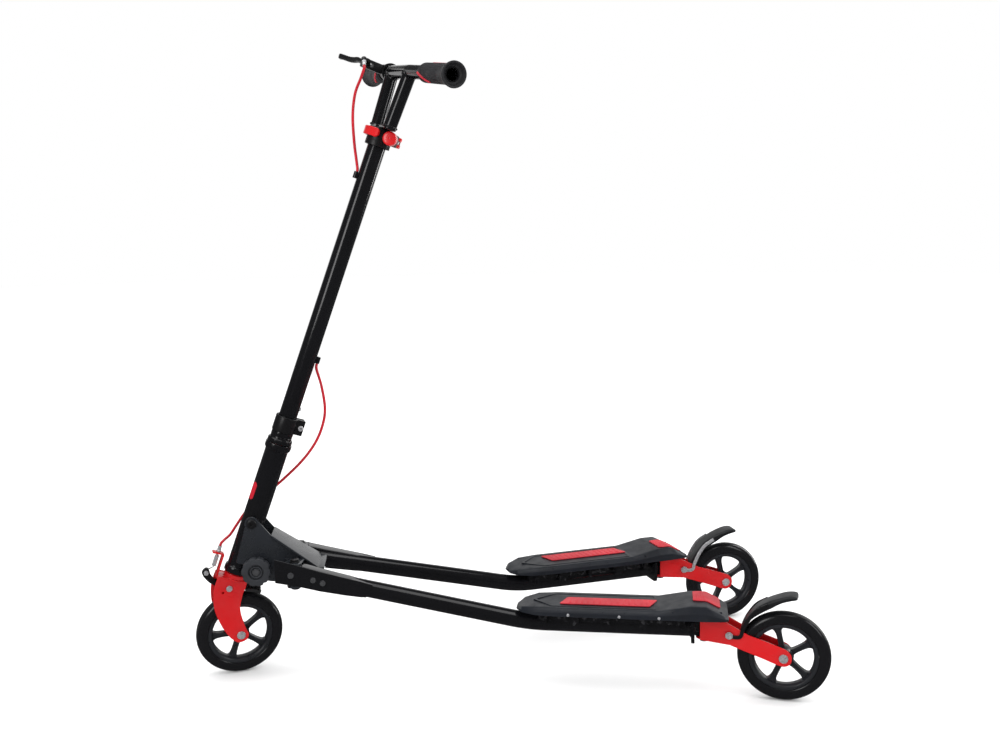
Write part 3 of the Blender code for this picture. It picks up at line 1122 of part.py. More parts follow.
def main():
    clear_scene()
    looks = {
        "gloss_black": material("gloss_black_paint", BLACK, 0.0, 0.15),
        "frame_black": material("frame_black_paint", (0.020, 0.020, 0.023), 0.0, 0.25),
        "satin_black": material("satin_black_metal", (0.014, 0.014, 0.016), 0.0, 0.35),
        "red_paint": material("red_paint", RED, 0.0, 0.20),
        "steel": material("bolt_steel", STEEL, 1.0, 0.30),
        "rubber": material("black_rubber", RUBBER, 0.0, 0.45),
        "charcoal": material("rim_plastic", CHARCOAL, 0.0, 0.40),
        "deck_plastic": material("deck_plastic", (0.022, 0.023, 0.027), 0.0, 0.45),
        "dark_plastic": material("knob_plastic", (0.040, 0.041, 0.046), 0.0, 0.50),
        "pad_red": material("pad_red", PINK_RED, 0.0, 0.55),
        "cable_red": material("cable_red", CRIMSON, 0.0, 0.30),
    }
    top = space("scooter", None)
    build_frame(top, looks)
    head = space("head_space", top, (AXIS_FOOT_X, 0, 0), [(LEAN, "Y")])
    build_head(head, looks)
    steering = space("steering_space", head, (0, 0, 0), [(STEER_AT_REST, "Z")])
    axle_at = front_axle_at()
    front = space("front_wheel_space", steering, (TRAIL_OFFSET, 0, axle_at), [(-LEAN, "Y")])
    arm_at = build_fork(steering, front, looks)
    wheel("front", front, radians(36), looks)
    build_stem(steering, looks)
    build_front_brake(steering, axle_at, arm_at, looks)
    build_handlebar(steering, looks)
    build_brake_lever(steering, looks)
    build_clamp(space("clamp_space", steering, (0, 0, 0), [(CLAMP_TURN, "Z")]), looks)
    for side, tag, toe in ((-1, "left", LEFT_TOE), (1, "right", RIGHT_TOE)):
        rest = side * ARM_AT_REST[tag]
        arm = space(f"{tag}_arm_space", top, (SWING_X, side * SWING_Y, 0), [(rest, "Z")])
        swivel, heading = build_arm(side, tag, arm, looks)
        caster = space(f"{tag}_caster_space", arm, swivel, [(side * toe - rest, "Z")])
        wheel_home = build_caster(tag, caster, looks)
        wheel(tag, wheel_home, radians(31), looks)
    centre_on_floor(top)


main()
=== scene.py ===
"""Looks of the three-wheeled swing scooter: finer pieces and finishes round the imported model.

Front is -X, the scooter's left side is -Y and up is +Z. Lengths are in metres.
"""

import json
from math import atan2, cos, pi, radians, sin, sqrt

import bmesh
import bpy
from mathutils import Matrix, Vector

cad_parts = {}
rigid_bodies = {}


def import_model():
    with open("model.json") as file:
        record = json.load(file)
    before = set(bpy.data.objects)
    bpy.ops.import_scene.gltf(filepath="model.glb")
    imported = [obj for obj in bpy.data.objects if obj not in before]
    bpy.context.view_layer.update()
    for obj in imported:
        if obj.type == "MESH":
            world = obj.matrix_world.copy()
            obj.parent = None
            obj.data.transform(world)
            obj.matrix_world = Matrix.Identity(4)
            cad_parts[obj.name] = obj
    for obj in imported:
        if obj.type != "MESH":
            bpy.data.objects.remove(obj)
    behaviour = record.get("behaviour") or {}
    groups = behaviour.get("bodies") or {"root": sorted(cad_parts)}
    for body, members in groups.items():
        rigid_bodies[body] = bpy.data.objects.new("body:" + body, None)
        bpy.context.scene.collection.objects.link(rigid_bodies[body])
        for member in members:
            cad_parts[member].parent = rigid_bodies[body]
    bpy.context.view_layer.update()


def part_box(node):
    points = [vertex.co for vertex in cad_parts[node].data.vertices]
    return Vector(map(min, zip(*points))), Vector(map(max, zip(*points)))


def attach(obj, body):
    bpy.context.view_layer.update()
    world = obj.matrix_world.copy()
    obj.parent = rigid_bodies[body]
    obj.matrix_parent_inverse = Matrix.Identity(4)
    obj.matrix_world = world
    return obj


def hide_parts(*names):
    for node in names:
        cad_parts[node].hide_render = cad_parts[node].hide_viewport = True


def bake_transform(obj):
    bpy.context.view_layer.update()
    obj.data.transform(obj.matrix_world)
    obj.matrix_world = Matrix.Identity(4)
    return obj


# Fits and wheels
GAP = 0.0003
RUN_GAP = 0.0010
STUB = 0.0010
WELD_RIPPLE = 4
ORIGIN = (0.0, 0.0, 0.0)
UP = (0.0, 0.0, 1.0)
ACROSS = (0.0, 1.0, 0.0)
SIDES = ((-1, "left"), (1, "right"))
WHEEL_RADIUS = 0.0725
TYRE_WIDTH = 0.0240
TYRE_CROWN = 0.0115
RIM_RADIUS = 0.0537
RIM_WIDTH = 0.0205
HUB_RADIUS = 0.0150
HUB_WIDTH = 0.0240
RIM_DEPTH = 0.0062
SPOKE_COUNT = 5
SPOKE_STATIONS = ((0.0125, 0.0124, 0.0062), (0.0155, 0.0096, 0.0062), (0.0190, 0.0082, 0.0061),
                  (0.0260, 0.0078, 0.0060), (0.0340, 0.0082, 0.0060), (0.0395, 0.0096, 0.0060),
                  (0.0430, 0.0122, 0.0060), (0.0455, 0.0168, 0.0060), (0.0480, 0.0250, 0.0060))
SPOKE_TURN = {"front": radians(36), "left": radians(31), "right": radians(31)}
TREAD_SHARE = 0.62
TYRE_ARC = 24
WHEEL_STEPS = 128
BEARING_RADIUS = 0.0110
AXLE_RADIUS = 0.0040
AXLE_HEAD = (0.0064, 0.0028, 0.0072)

# Steering column, measured along the steering axis
COLUMN_STEPS = 96
LEAN = radians(20.06)
STEER_AT_REST = radians(18.0)
AXIS_FOOT_X = -0.0668
TRAIL_OFFSET = 0.0378
PLATE_INNER = 0.0135
PLATE_THICKNESS = 0.0032
PLATE_OUTER = PLATE_INNER + PLATE_THICKNESS
CROWN_LOW = 0.1765
CROWN_TOP = 0.1830
CROWN_FRONT_X = -0.0310
CROWN_REAR_X = 0.0185
RACE_RADIUS = 0.0195
STEERER_RADIUS = 0.0128
HEAD_RADIUS = 0.0190
CUP_RADIUS = 0.0218
HEAD_LOW = 0.1935
HEAD_TOP = 0.4240
CUP_HEIGHT = 0.0095
RING_TOP = 0.4445
STEM_RADIUS = 0.0150
STEM_TOP = 0.9440
FRONT_BOSS = 0.8810
REAR_BOSS = 0.5750
BUTTON_AT = 0.4870
CABLE_EYE_X = -0.0400
STOP_TOP = 0.2200

# Handlebar and clamp
CLAMP_LOW = 0.9340
CLAMP_HIGH = 0.9630
CLAMP_BOLT_AT = 0.9515
CLAMP_TURN = radians(-29.0)
CLAMP_RADIUS = 0.0205
CLAMP_BOLT_OFF = 0.0225
CLAMP_EAR = 0.0052
CLAMP_EAR_HALF = 0.0120
CLAMP_SPLIT = 0.0012
CLAMP_BAND_HALF = 0.0095
CAM_RADIUS = 0.0084
CAM_HALF = 0.0085
EYE_HALF = 0.0030
LEVER_HALF = 0.0024
YOKE_LOW = 0.9633
YOKE_TOP = 0.9683
POST_LOW = 0.7603
BAR_AT = 1.0580
BAR_RADIUS = 0.0110
BAR_HALF = 0.2140
BACKSWEEP = radians(4.5)
STRUT_AT_BAR = 0.0500
STRUT_AT_YOKE = 0.0362
GRIP_INNER_END = 0.1100
GRIP_LENGTH = 0.1130
GRIP_RADIUS = 0.0150
GRIP_FLARE = 0.0195
GRIP_ROWS = 60
GRIP_RELIEF = (0.0100, GRIP_LENGTH - 0.0300)
POST_BORE = 0.0108
CABLE_RADIUS = 0.0023
CABLE_SEAT_X = -0.0182

# Wedge frame and arms
FOLD_AT = 0.2860
CHEEK_INNER = 0.0223
CHEEK_THICKNESS = 0.0040
CHEEK_OUTER = CHEEK_INNER + CHEEK_THICKNESS
KNOB_X = 0.0385
KNOB_Z = 0.1935
KNOB_RADIUS = 0.0237
KNOB_FACE = 0.0520
KNOB_LOBES = 10
KNOB_STEPS = 200
STRIPE_TURN = radians(215.0)
STRIPE_LOW = 0.3215
STRIPE_LENGTH = 0.0300
STRIPE_STEPS = 24
TRUNNION_RADIUS = 0.0095
WEDGE_REAR_X = 0.1390
WEDGE_REAR_Z = 0.1950
TOP_PLATE_START_X = 0.0620
TOP_PLATE_LINE = (0.0350, 0.2680)
TOP_PLATE_HALF = 0.0385
TOP_PLATE_THICKNESS = 0.0040
CHEEK_BOSS = 0.0115
SLOT_HALF = 0.0050
SWING_X = 0.1020
SWING_Y = 0.0520
EAR_TOP = 0.2060
EAR_BOTTOM = 0.1725
EAR_THICKNESS = 0.0035
ARM_RADIUS = 0.0140
ARM_NOSE = (0.0790, 0.0505, 0.1940)
ARM_START = (0.1020, 0.0520, 0.1895)
ARM_BEND = (0.4800, 0.0950, 0.1070)
ARM_END = (0.7390, 0.1560, 0.1070)
BARREL_RADIUS = 0.0150
ARM_WALL = 0.0020
ARM_BEND_REACH = 0.0300
SADDLE_LOW = 0.1110
SADDLE_HALF = 0.0260
ARM_FACE = 0.0165
ARM_BACK = 0.0060
COVER_BOLTS = ((-0.0058, 0.1918, 0.0044), (0.0302, 0.1836, 0.0040), (0.0457, 0.1785, 0.0040))
ARM_AT_REST = {"left": radians(-0.6), "right": radians(0.6)}

# Decks and casters
DECK_NOSE = -0.3010
DECK_TAIL = 0.0370
DECK_HALF = 0.0450
DECK_LOW = 0.1325
DECK_TOP = 0.1450
DECK_KICK_TOP = 0.1545
DECK_KICK_START = -0.0720
DECK_KICK_LENGTH = 0.0500
DECK_TAIL_START = 0.0030
DECK_TAIL_TOP = 0.1370
DECK_WALL = 0.0032
DECK_RIBS = (-0.2300, -0.1600, -0.1250, -0.0500)
PAD_STEP = 0.0004
PAD_HALF = 0.0225
PAD_OFFSET = 0.0105
DECK_SCREWS = (-0.2142, -0.1335, -0.0710)
KEEL_FRONT = -0.2650
KEEL_REAR = -0.0300
KEEL_RIBS = (-0.2520, -0.2050, -0.1510, -0.0960, -0.0420)
SWIVEL_X = 0.7560
SWIVEL_Y = 0.1600
CASTER_TRAIL = 0.1250
HOUSING_RADIUS = 0.0118
HOUSING_LOW = 0.0955
HOUSING_TOP = 0.1205
YOKE_EAR = 0.0040
YOKE_EAR_RADIUS = 0.0128
SWIVEL_HEAD = (0.0074, 0.0036, 0.0082)
FENDER_WALL = 0.0020
FENDER_ROWS = 30
FENDER_CORNER = 0.0042
WEB_X = 0.0210
PLATE_FRONT = -0.0050
TOE = {"left": radians(19.6), "right": radians(6.7)}
BRAKE_PIVOT = (159.4, 0.0172)
SIDE_ARM_HALF = 0.0030
SIDE_ARM_LINE = ((159.4, 0.0215), (159.4, 0.0172), (158.8, 0.0080), (155.0, 0.0010), (147.0, 0.0030),
                 (135.0, 0.0072), (120.3, 0.0136), (107.0, 0.0165))

# Lines of (place along X, value)
COVER_FACE = ((-0.0310, 0.0174), (0.0, 0.0174), (0.0400, 0.0219), (0.1150, 0.0268), (0.1260, 0.0276))
DECK_HEIGHTS = ((DECK_NOSE, DECK_TOP - 0.0100), (DECK_NOSE + 0.010, DECK_TOP - 0.0048),
                (DECK_NOSE + 0.032, DECK_TOP - 0.0008), (DECK_NOSE + 0.060, DECK_TOP),
                (DECK_KICK_START, DECK_TOP), (DECK_KICK_START + DECK_KICK_LENGTH, DECK_KICK_TOP),
                (DECK_TAIL_START, DECK_KICK_TOP), (DECK_TAIL, DECK_TAIL_TOP))
DECK_SHARES = ((DECK_NOSE, 0.30), (DECK_NOSE + 0.010, 0.66), (DECK_NOSE + 0.032, 0.92),
               (DECK_NOSE + 0.066, 1.0), (DECK_TAIL_START, 1.0), (DECK_TAIL - 0.0080, 0.95),
               (DECK_TAIL, 0.86))

# Camera, fitted to the photograph
CAMERA_AT = (0.3070, -1.8828, 0.7734)
CAMERA_YAW = 0.0741
CAMERA_PITCH = 0.1432
CAMERA_ROLL = -0.0145
CAMERA_LENS = 41.24
CAMERA_CLIP = (0.05, 60.0)
SENSOR_WIDTH = 36.0

# Stage, and lights as name, place, aim, size and power
WORLD_LIGHT = 1.10
WORLD_SEEN = 1.0
WORLD_MIRRORED = 0.07
FLOOR_RINGS = (0.6, 1.5, 4.0, 12.0)
FLOOR_STEPS = 96
LIGHTS = (
    ("overhead_softbox", (-0.2, -0.3, 2.6), (0.0, 0.1, 0.3), (2.6, 1.6), 24.0),
    ("right_strip", (2.5, 1.0, 1.2), (-0.2, 0.0, 0.6), (0.35, 2.4), 30.0),
    ("left_front_box", (-1.9, -2.2, 1.4), (-0.1, 0.0, 0.4), (0.9, 1.4), 16.0),
    ("back_card", (0.0, 3.4, 1.15), (0.0, 0.0, 0.35), (6.5, 2.2), 34.0),
    ("right_front_strip", (2.3, -1.4, 1.6), (0.5, 0.0, 0.1), (0.35, 1.6), 9.0),
)

LOOKS = {}


def mesh_of(points, faces):
    """A mesh from points and faces, with its faces turned outwards."""
    made = bpy.data.meshes.new("shape")
    made.from_pydata([tuple(point) for point in points], [], faces)
    work = bmesh.new()
    work.from_mesh(made)
    bmesh.ops.remove_doubles(work, verts=work.verts, dist=1e-6)
    bmesh.ops.recalc_face_normals(work, faces=work.faces)
    work.to_mesh(made)
    work.free()
    return made


def skin(loops, closed=False):
    """Join equal loops of points side by side, with flat ends unless closed into a ring."""
    count = len(loops[0])
    points = [point for loop in loops for point in loop]
    faces = []
    spans = len(loops) if closed else len(loops) - 1
    for row in range(spans):
        after = (row + 1) % len(loops)
        for k in range(count):
            n = (k + 1) % count
            faces.append((row * count + k, row * count + n, after * count + n, after * count + k))
    if not closed:
        faces.append(tuple(range(count)))
        faces.append(tuple((len(loops) - 1) * count + k for k in range(count)))
    return mesh_of(points, faces)


def basis(direction, hint=UP):
    """Two unit directions square to the given one."""
    along = Vector(direction).normalized()
    side = Vector(hint).cross(along)
    if side.length < 1e-3:
        side = Vector((1.0, 0.0, 0.0)).cross(along)
    side.normalize()
    return side, along.cross(side)


def between(stops, x):
    """The value at x on a line through (x, value) stops."""
    for (x0, value0), (x1, value1) in zip(stops, stops[1:]):
        if x <= x1:
            return value0 + (value1 - value0) * max(0.0, (x - x0) / (x1 - x0))
    return stops[-1][1]


def blended(stops, steps=6):
    """The given rows of numbers with even steps between them."""
    for k, (row, after) in enumerate(zip(stops, stops[1:])):
        last = k == len(stops) - 2
        for step in range(steps + last):
            yield tuple(a + (b - a) * step / steps for a, b in zip(row, after))


def ahead_at(line, k):
    """Direction of a line of points at one of them."""
    return (line[min(k + 1, len(line) - 1)] - line[max(k - 1, 0)]).normalized()


def rectangle(x0, y0, x1, y1):
    """Corners of a rectangle, or the profile of a plain sleeve."""
    return [(x0, y0), (x1, y0), (x1, y1), (x0, y1)]


def soften(line, radius, steps=3, closed=False):
    """Round the corners of a line of 2-D points."""
    out = []
    count = len(line)
    for k in range(count):
        corner = Vector(line[k])
        if not closed and k in (0, count - 1):
            out.append(tuple(corner))
            continue
        before = Vector(line[k - 1]) - corner
        after = Vector(line[(k + 1) % count]) - corner
        reach = min(radius, before.length * 0.45, after.length * 0.45)
        start = corner + before.normalized() * reach
        end = corner + after.normalized() * reach
        for n in range(steps + 1):
            t = n / steps
            out.append(tuple(start * (1 - t) ** 2 + corner * 2 * t * (1 - t) + end * t**2))
    return out


def rounded(x0, y0, x1, y1, radius, steps):
    """A rectangle with rounded corners."""
    return soften(rectangle(x0, y0, x1, y1), radius, steps, closed=True)


def ring(profile, centre=ORIGIN, axis=UP, steps=72, soft=0.0005, bend=None):
    """Turn a closed profile of (radius, distance along the axis) about an axis."""
    side, up = basis(axis)
    along = Vector(axis).normalized()
    profile = soften(profile, soft, closed=True) if soft else profile
    loops = []
    for k in range(steps):
        angle = 2 * pi * k / steps
        out = side * cos(angle) + up * sin(angle)
        loop = []
        for radius, height in profile:
            grown = bend(angle, radius, height) if bend else radius
            loop.append(Vector(centre) + along * height + out * grown)
        loops.append(loop)
    return skin(loops, closed=True)


def grooved(count, depth, least, power=1):
    """A bend for ring() that presses grooves into what lies outside the least radius."""
    return lambda angle, radius, height: (
        radius - depth * (radius > least) * (0.5 + 0.5 * cos(count * angle)) ** power)


def turned(profile, centre=ORIGIN, axis=UP, steps=48, soft=0.0005):
    """Turn an open profile of (radius, distance along the axis) into a solid with flat ends."""
    side, up = basis(axis)
    along = Vector(axis).normalized()
    profile = soften(profile, soft) if soft else profile
    loops = []
    for radius, height in profile:
        loop = []
        for k in range(steps):
            angle = 2 * pi * k / steps
            out = side * cos(angle) + up * sin(angle)
            loop.append(Vector(centre) + along * height + out * radius)
        loops.append(loop)
    return skin(loops)


def rod(start, end, radius, steps=48, soft=0.0004):
    """A round solid bar with softened ends."""
    start = Vector(start)
    span = Vector(end) - start
    line = [(radius - soft, 0.0), (radius, soft), (radius, span.length - soft), (radius - soft, span.length)]
    return turned(line, start, span, steps, 0)


def tube(points, radius, steps=32, inner=0.0):
    """A round bar swept along a line of points, or a pipe with open, rolled ends."""
    points = [Vector(point) for point in points]
    rows = []
    for k, point in enumerate(points):
        side, up = basis(ahead_at(points, k))
        rows.append((point, side, up))

    def loop(row, reach):
        point, side, up = row
        return [point + side * reach * cos(2 * pi * n / steps) + up * reach * sin(2 * pi * n / steps)
                for n in range(steps)]

    loops = [loop(row, radius) for row in rows]
    if inner:
        loops += [loop(row, inner) for row in reversed(rows)]
        return skin(loops, closed=True)
    return skin(loops)


def smooth_path(points, steps=6, closed=False):
    """More points on a smooth curve through the given ones."""
    points = [Vector(point) for point in points]
    if closed:
        padded = [points[-1]] + points + points[:2]
    else:
        padded = [points[0] * 2 - points[1]] + points + [points[-1] * 2 - points[-2]]
    out = []
    for k in range(1, len(padded) - 2):
        a, b, c, d = padded[k - 1 : k + 3]
        for n in range(steps):
            t = n / steps
            out.append(0.5 * (2 * b + (c - a) * t + (2 * a - 5 * b + 4 * c - d) * t**2
                              + (3 * b - a - 3 * c + d) * t**3))
    if not closed:
        out.append(points[-1])
    return out


def smooth_outline(points, steps, closed=False):
    """More 2-D points on a smooth curve through the given ones."""
    return [tuple(point)[:2] for point in smooth_path([(*point, 0.0) for point in points], steps, closed)]


def plate(outline, low, high, axis="y", holes=(), soft=0.0007):
    """A flat plate with rounded edges: (x, z) pushed out along Y, or (x, y) pushed up Z."""
    curve = bpy.data.curves.new("plate", "CURVE")
    curve.dimensions = "2D"
    curve.fill_mode = "BOTH"
    curve.extrude = (high - low) / 2 - soft
    curve.bevel_depth = soft
    curve.bevel_resolution = 2
    curve.offset = -soft
    for line in (outline, *holes):
        spline = curve.splines.new("POLY")
        spline.points.add(len(line) - 1)
        for point, (across, up) in zip(spline.points, line):
            point.co = (across, up, 0.0, 1.0)
        spline.use_cyclic_u = True
    carrier = bpy.data.objects.new("plate", curve)
    bpy.context.scene.collection.objects.link(carrier)
    bpy.context.view_layer.update()
    made = bpy.data.meshes.new_from_object(carrier.evaluated_get(bpy.context.evaluated_depsgraph_get()))
    bpy.data.objects.remove(carrier, do_unlink=True)
    middle = (low + high) / 2
    if axis == "y":
        made.transform(Matrix.Translation((0, middle, 0)) @ Matrix.Rotation(pi / 2, 4, "X"))
    else:
        made.transform(Matrix.Translation((0, 0, middle)))
    work = bmesh.new()
    work.from_mesh(made)
    bmesh.ops.remove_doubles(work, verts=work.verts, dist=1e-6)
    bmesh.ops.recalc_face_normals(work, faces=work.faces)
    work.to_mesh(made)
    work.free()
    return made


def circle(centre, radius, steps=24):
    """A round outline or hole."""
    return [(centre[0] + radius * cos(2 * pi * k / steps), centre[1] + radius * sin(2 * pi * k / steps))
            for k in range(steps)]


def slab(outline, low, high, axis="y"):
    """A plain cutter pushed out between two distances."""
    if axis == "y":
        loops = [[(x, level, z) for x, z in outline] for level in (low, high)]
    else:
        loops = [[(x, y, level) for x, y in outline] for level in (low, high)]
    return skin(loops)


def block(low, high, soft=0.0008):
    """A box with rounded edges."""
    (x0, y0, z0), (x1, y1, z1) = low, high
    return plate(rectangle(x0, y0, x1, y1), z0, z1, axis="z", soft=soft)


def bolt_head(at, axis, radius, height, washer=0.0):
    """A hex head with its corners chamfered off by a cone, on an optional washer."""
    side, up = basis(axis)
    along = Vector(axis).normalized()
    start = Vector(at)
    parts = []
    if washer:
        parts.append(turned([(washer - 0.0003, 0.0), (washer, 0.0003), (washer, 0.0008),
                             (washer - 0.0003, 0.0011)],
                            start, axis, 36, 0))
        start = start + along * 0.0010
    steps = 36
    rows = []
    for reach, level in ((0.93, 0.0), (1.0, 0.06), (1.0, 0.80), (0.88, 0.97), (0.80, 1.0)):
        loop = []
        for k in range(steps):
            angle = 2 * pi * k / steps
            flat = cos(pi / 6) / cos((angle % (pi / 3)) - pi / 6)
            size = radius * min(flat, reach)
            loop.append(start + along * height * level + (side * cos(angle) + up * sin(angle)) * size)
        rows.append(loop)
    parts.append(skin(rows))
    return merged(*parts)


def through_bolt(low, high, radius, head, stub):
    """A bolt between two seats: a shank that ends in a stub, and the same hex head on both ends."""
    low, high = Vector(low), Vector(high)
    along = (high - low).normalized()
    return merged(rod(low - along * STUB, high + along * stub, radius),
                  bolt_head(low, -along, *head), bolt_head(high, along, *head))


def cross_bolt(at, half, radius, head, stub):
    """A bolt along Y at (x, z), between seats on both sides."""
    return through_bolt((at[0], -half, at[1]), (at[0], half, at[1]), radius, head, stub)


def merged(*meshes):
    """Several meshes in one."""
    work = bmesh.new()
    for mesh in meshes:
        work.from_mesh(mesh)
    made = bpy.data.meshes.new("shape")
    work.to_mesh(made)
    work.free()
    return made


def moved(mesh, matrix):
    """The mesh, moved in place."""
    mesh.transform(matrix)
    return mesh


def boolean(base, tools, operation):
    """Apply exact Booleans at once and return the resulting mesh."""
    scene = bpy.context.scene.collection
    body = bpy.data.objects.new("work", base)
    scene.objects.link(body)
    helpers = [body]
    for tool in tools:
        helper = bpy.data.objects.new("tool", tool)
        scene.objects.link(helper)
        helpers.append(helper)
        step = body.modifiers.new("step", "BOOLEAN")
        step.operation = operation
        step.solver = "EXACT"
        step.object = helper
    bpy.context.view_layer.update()
    made = bpy.data.meshes.new_from_object(body.evaluated_get(bpy.context.evaluated_depsgraph_get()))
    for helper in helpers:
        bpy.data.objects.remove(helper, do_unlink=True)
    return made


def join(base, *others):
    """One solid from several that overlap."""
    return boolean(base, others, "UNION")


def cut(base, *others):
    """A solid less the others."""
    return boolean(base, others, "DIFFERENCE")


def bead(points, size, hint=UP):
    """A rippled weld along a closed line of points."""
    points = [Vector(point) for point in points]
    loops = []
    for k, point in enumerate(points):
        heading = (points[(k + 1) % len(points)] - points[k - 1]).normalized()
        side, up = basis(heading, hint)
        fat = size * (1.0 + 0.14 * cos(2 * pi * k / WELD_RIPPLE))
        loops.append([point + side * fat * cos(turn) + up * fat * sin(turn)
                      for turn in (2 * pi * n / 10 for n in range(10))])
    return skin(loops, closed=True)


def round_weld(radius, centre, axis, size, steps=COLUMN_STEPS):
    """A weld round a tube."""
    side, up = basis(axis)
    line = [Vector(centre) + (side * cos(2 * pi * k / steps) + up * sin(2 * pi * k / steps)) * radius
            for k in range(steps)]
    return bead(line, size, axis)


def seam_weld(line, inward, size, hint):
    """A weld along an open line: out along it and back a little to the side."""
    return bead(line + [(x, y - inward, z) for x, y, z in reversed(line)], size, hint)


def finished(name, shape, look):
    """A smooth-shaded object in one material."""
    shape.name = name
    shape.materials.clear()
    shape.materials.append(LOOKS[look])
    shape.polygons.foreach_set("material_index", [0] * len(shape.polygons))
    shape.shade_smooth()
    made = bpy.data.objects.new(name, shape)
    bpy.context.scene.collection.objects.link(made)
    return made


def piece(name, shape, where, body, look, node=None, sharp=32.0):
    """A finished piece that rides on a body and may stand for a CAD node."""
    shape.transform(where)
    made = finished(name, shape, look)
    shape.set_sharp_from_angle(angle=radians(sharp))
    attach(made, body)
    if node:
        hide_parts(node)


def fine(node, shape, where, body, look, sharp=32.0):
    """A finer piece in place of the CAD node of the same name."""
    piece(f"{node}_fine", shape, where, body, look, node, sharp)


def flexible(node, shape, where, look):
    """A finer piece that runs between two bodies, baked where it stands and tied to neither, in place of the
    CAD node of the same name.
    """
    shape.transform(where)
    made = finished(f"{node}_fine", shape, look)
    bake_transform(made)
    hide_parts(node)


# Materials

def nodes_of(name, colour, metallic, roughness, coat=0.0, coat_rough=0.05, specular=0.5):
    """A Principled material and its node tree."""
    made = bpy.data.materials.new(name)
    made.use_nodes = True
    tree = made.node_tree
    shader = tree.nodes["Principled BSDF"]
    shader.inputs["Base Color"].default_value = (*colour, 1.0)
    shader.inputs["Metallic"].default_value = metallic
    shader.inputs["Roughness"].default_value = roughness
    shader.inputs["Coat Weight"].default_value = coat
    shader.inputs["Coat Roughness"].default_value = coat_rough
    shader.inputs["Specular IOR Level"].default_value = specular
    return made, tree, shader


def noise(tree, scale, detail=4.0, rough=0.55, stretch=None):
    """Noise in object space. Returns the node."""
    place = tree.nodes.new("ShaderNodeTexCoord")
    source = place.outputs["Object"]
    if stretch:
        mapping = tree.nodes.new("ShaderNodeMapping")
        mapping.inputs["Scale"].default_value = stretch
        tree.links.new(source, mapping.inputs["Vector"])
        source = mapping.outputs["Vector"]
    made = tree.nodes.new("ShaderNodeTexNoise")
    made.inputs["Scale"].default_value = scale
    made.inputs["Detail"].default_value = detail
    made.inputs["Roughness"].default_value = rough
    tree.links.new(source, made.inputs["Vector"])
    return made


def ramp(tree, source, stops):
    """A colour ramp with (position, colour) stops. Returns its colour output."""
    made = tree.nodes.new("ShaderNodeValToRGB")
    while len(made.color_ramp.elements) < len(stops):
        made.color_ramp.elements.new(0.5)
    for element, (position, colour) in zip(made.color_ramp.elements, stops):
        element.position = position
        element.color = (*colour, 1.0)
    tree.links.new(source, made.inputs["Fac"])
    return made.outputs["Color"]


def spread(tree, source, low, high, start=0.3, end=0.7):
    """Map a 0 to 1 value to a range."""
    made = tree.nodes.new("ShaderNodeMapRange")
    made.inputs["From Min"].default_value = start
    made.inputs["From Max"].default_value = end
    made.inputs["To Min"].default_value = low
    made.inputs["To Max"].default_value = high
    tree.links.new(source, made.inputs["Value"])
    return made.outputs["Result"]


def bump(tree, shader, source, depth, coat=False):
    """Relief of the given depth in metres."""
    made = tree.nodes.new("ShaderNodeBump")
    made.inputs["Distance"].default_value = depth
    made.inputs["Strength"].default_value = 1.0
    tree.links.new(source, made.inputs["Height"])
    tree.links.new(made.outputs["Normal"], shader.inputs["Normal"])
    if coat:
        tree.links.new(made.outputs["Normal"], shader.inputs["Coat Normal"])


def tint(colour, factor):
    """A colour made lighter or darker."""
    return tuple(min(channel * factor, 1.0) for channel in colour)


def product(tree, first, second):
    """One value times another."""
    made = tree.nodes.new("ShaderNodeMath")
    made.operation = "MULTIPLY"
    tree.links.new(first, made.inputs[0])
    tree.links.new(second, made.inputs[1])
    return made.outputs[0]


def edge_wear(tree, colour, worn, amount):
    """Colour that turns to the worn one on convex edges, broken up by noise."""
    shape = tree.nodes.new("ShaderNodeNewGeometry")
    edge = spread(tree, shape.outputs["Pointiness"], 0.0, 1.0, 0.56, 0.66)
    patches = spread(tree, noise(tree, 160.0).outputs["Fac"], 0.0, amount, 0.52, 0.66)
    mix = tree.nodes.new("ShaderNodeMix")
    mix.data_type = "RGBA"
    tree.links.new(product(tree, edge, patches), mix.inputs["Factor"])
    tree.links.new(colour, mix.inputs["A"])
    mix.inputs["B"].default_value = (*worn, 1.0)
    return mix.outputs["Result"]


def paint(name, colour, rough, coat, specular, peel, worn, wear=0.5):
    """Sprayed paint: faint cloudiness, orange peel, uneven gloss and worn edges."""
    made, tree, shader = nodes_of(name, colour, 0.0, rough, coat, 0.04, specular)
    cloud = noise(tree, 7.0, 3.0)
    shade = ramp(tree, cloud.outputs["Fac"], ((0.3, tint(colour, 0.82)), (0.7, tint(colour, 1.18))))
    tree.links.new(edge_wear(tree, shade, worn, wear), shader.inputs["Base Color"])
    gloss = noise(tree, 34.0, 5.0)
    tree.links.new(spread(tree, gloss.outputs["Fac"], rough * 0.75, rough * 1.35), shader.inputs["Roughness"])
    bump(tree, shader, noise(tree, 420.0, 2.0).outputs["Fac"], peel, coat=True)
    return made


def moulded(name, colour, rough, grain, grain_scale, specular=0.5, wear=0.35):
    """Moulded plastic or rubber: fine grain, uneven gloss and rubbed edges."""
    made, tree, shader = nodes_of(name, colour, 0.0, rough, specular=specular)
    cloud = noise(tree, 16.0, 5.0)
    shade = ramp(tree, cloud.outputs["Fac"], ((0.3, tint(colour, 0.80)), (0.72, tint(colour, 1.25))))
    tree.links.new(edge_wear(tree, shade, tint(colour, 3.0), wear), shader.inputs["Base Color"])
    gloss = noise(tree, 60.0, 4.0)
    tree.links.new(spread(tree, gloss.outputs["Fac"], rough * 0.85, rough * 1.2), shader.inputs["Roughness"])
    cells = tree.nodes.new("ShaderNodeTexVoronoi")
    cells.inputs["Scale"].default_value = grain_scale
    place = tree.nodes.new("ShaderNodeTexCoord")
    tree.links.new(place.outputs["Object"], cells.inputs["Vector"])
    bump(tree, shader, cells.outputs["Distance"], grain)
    return made


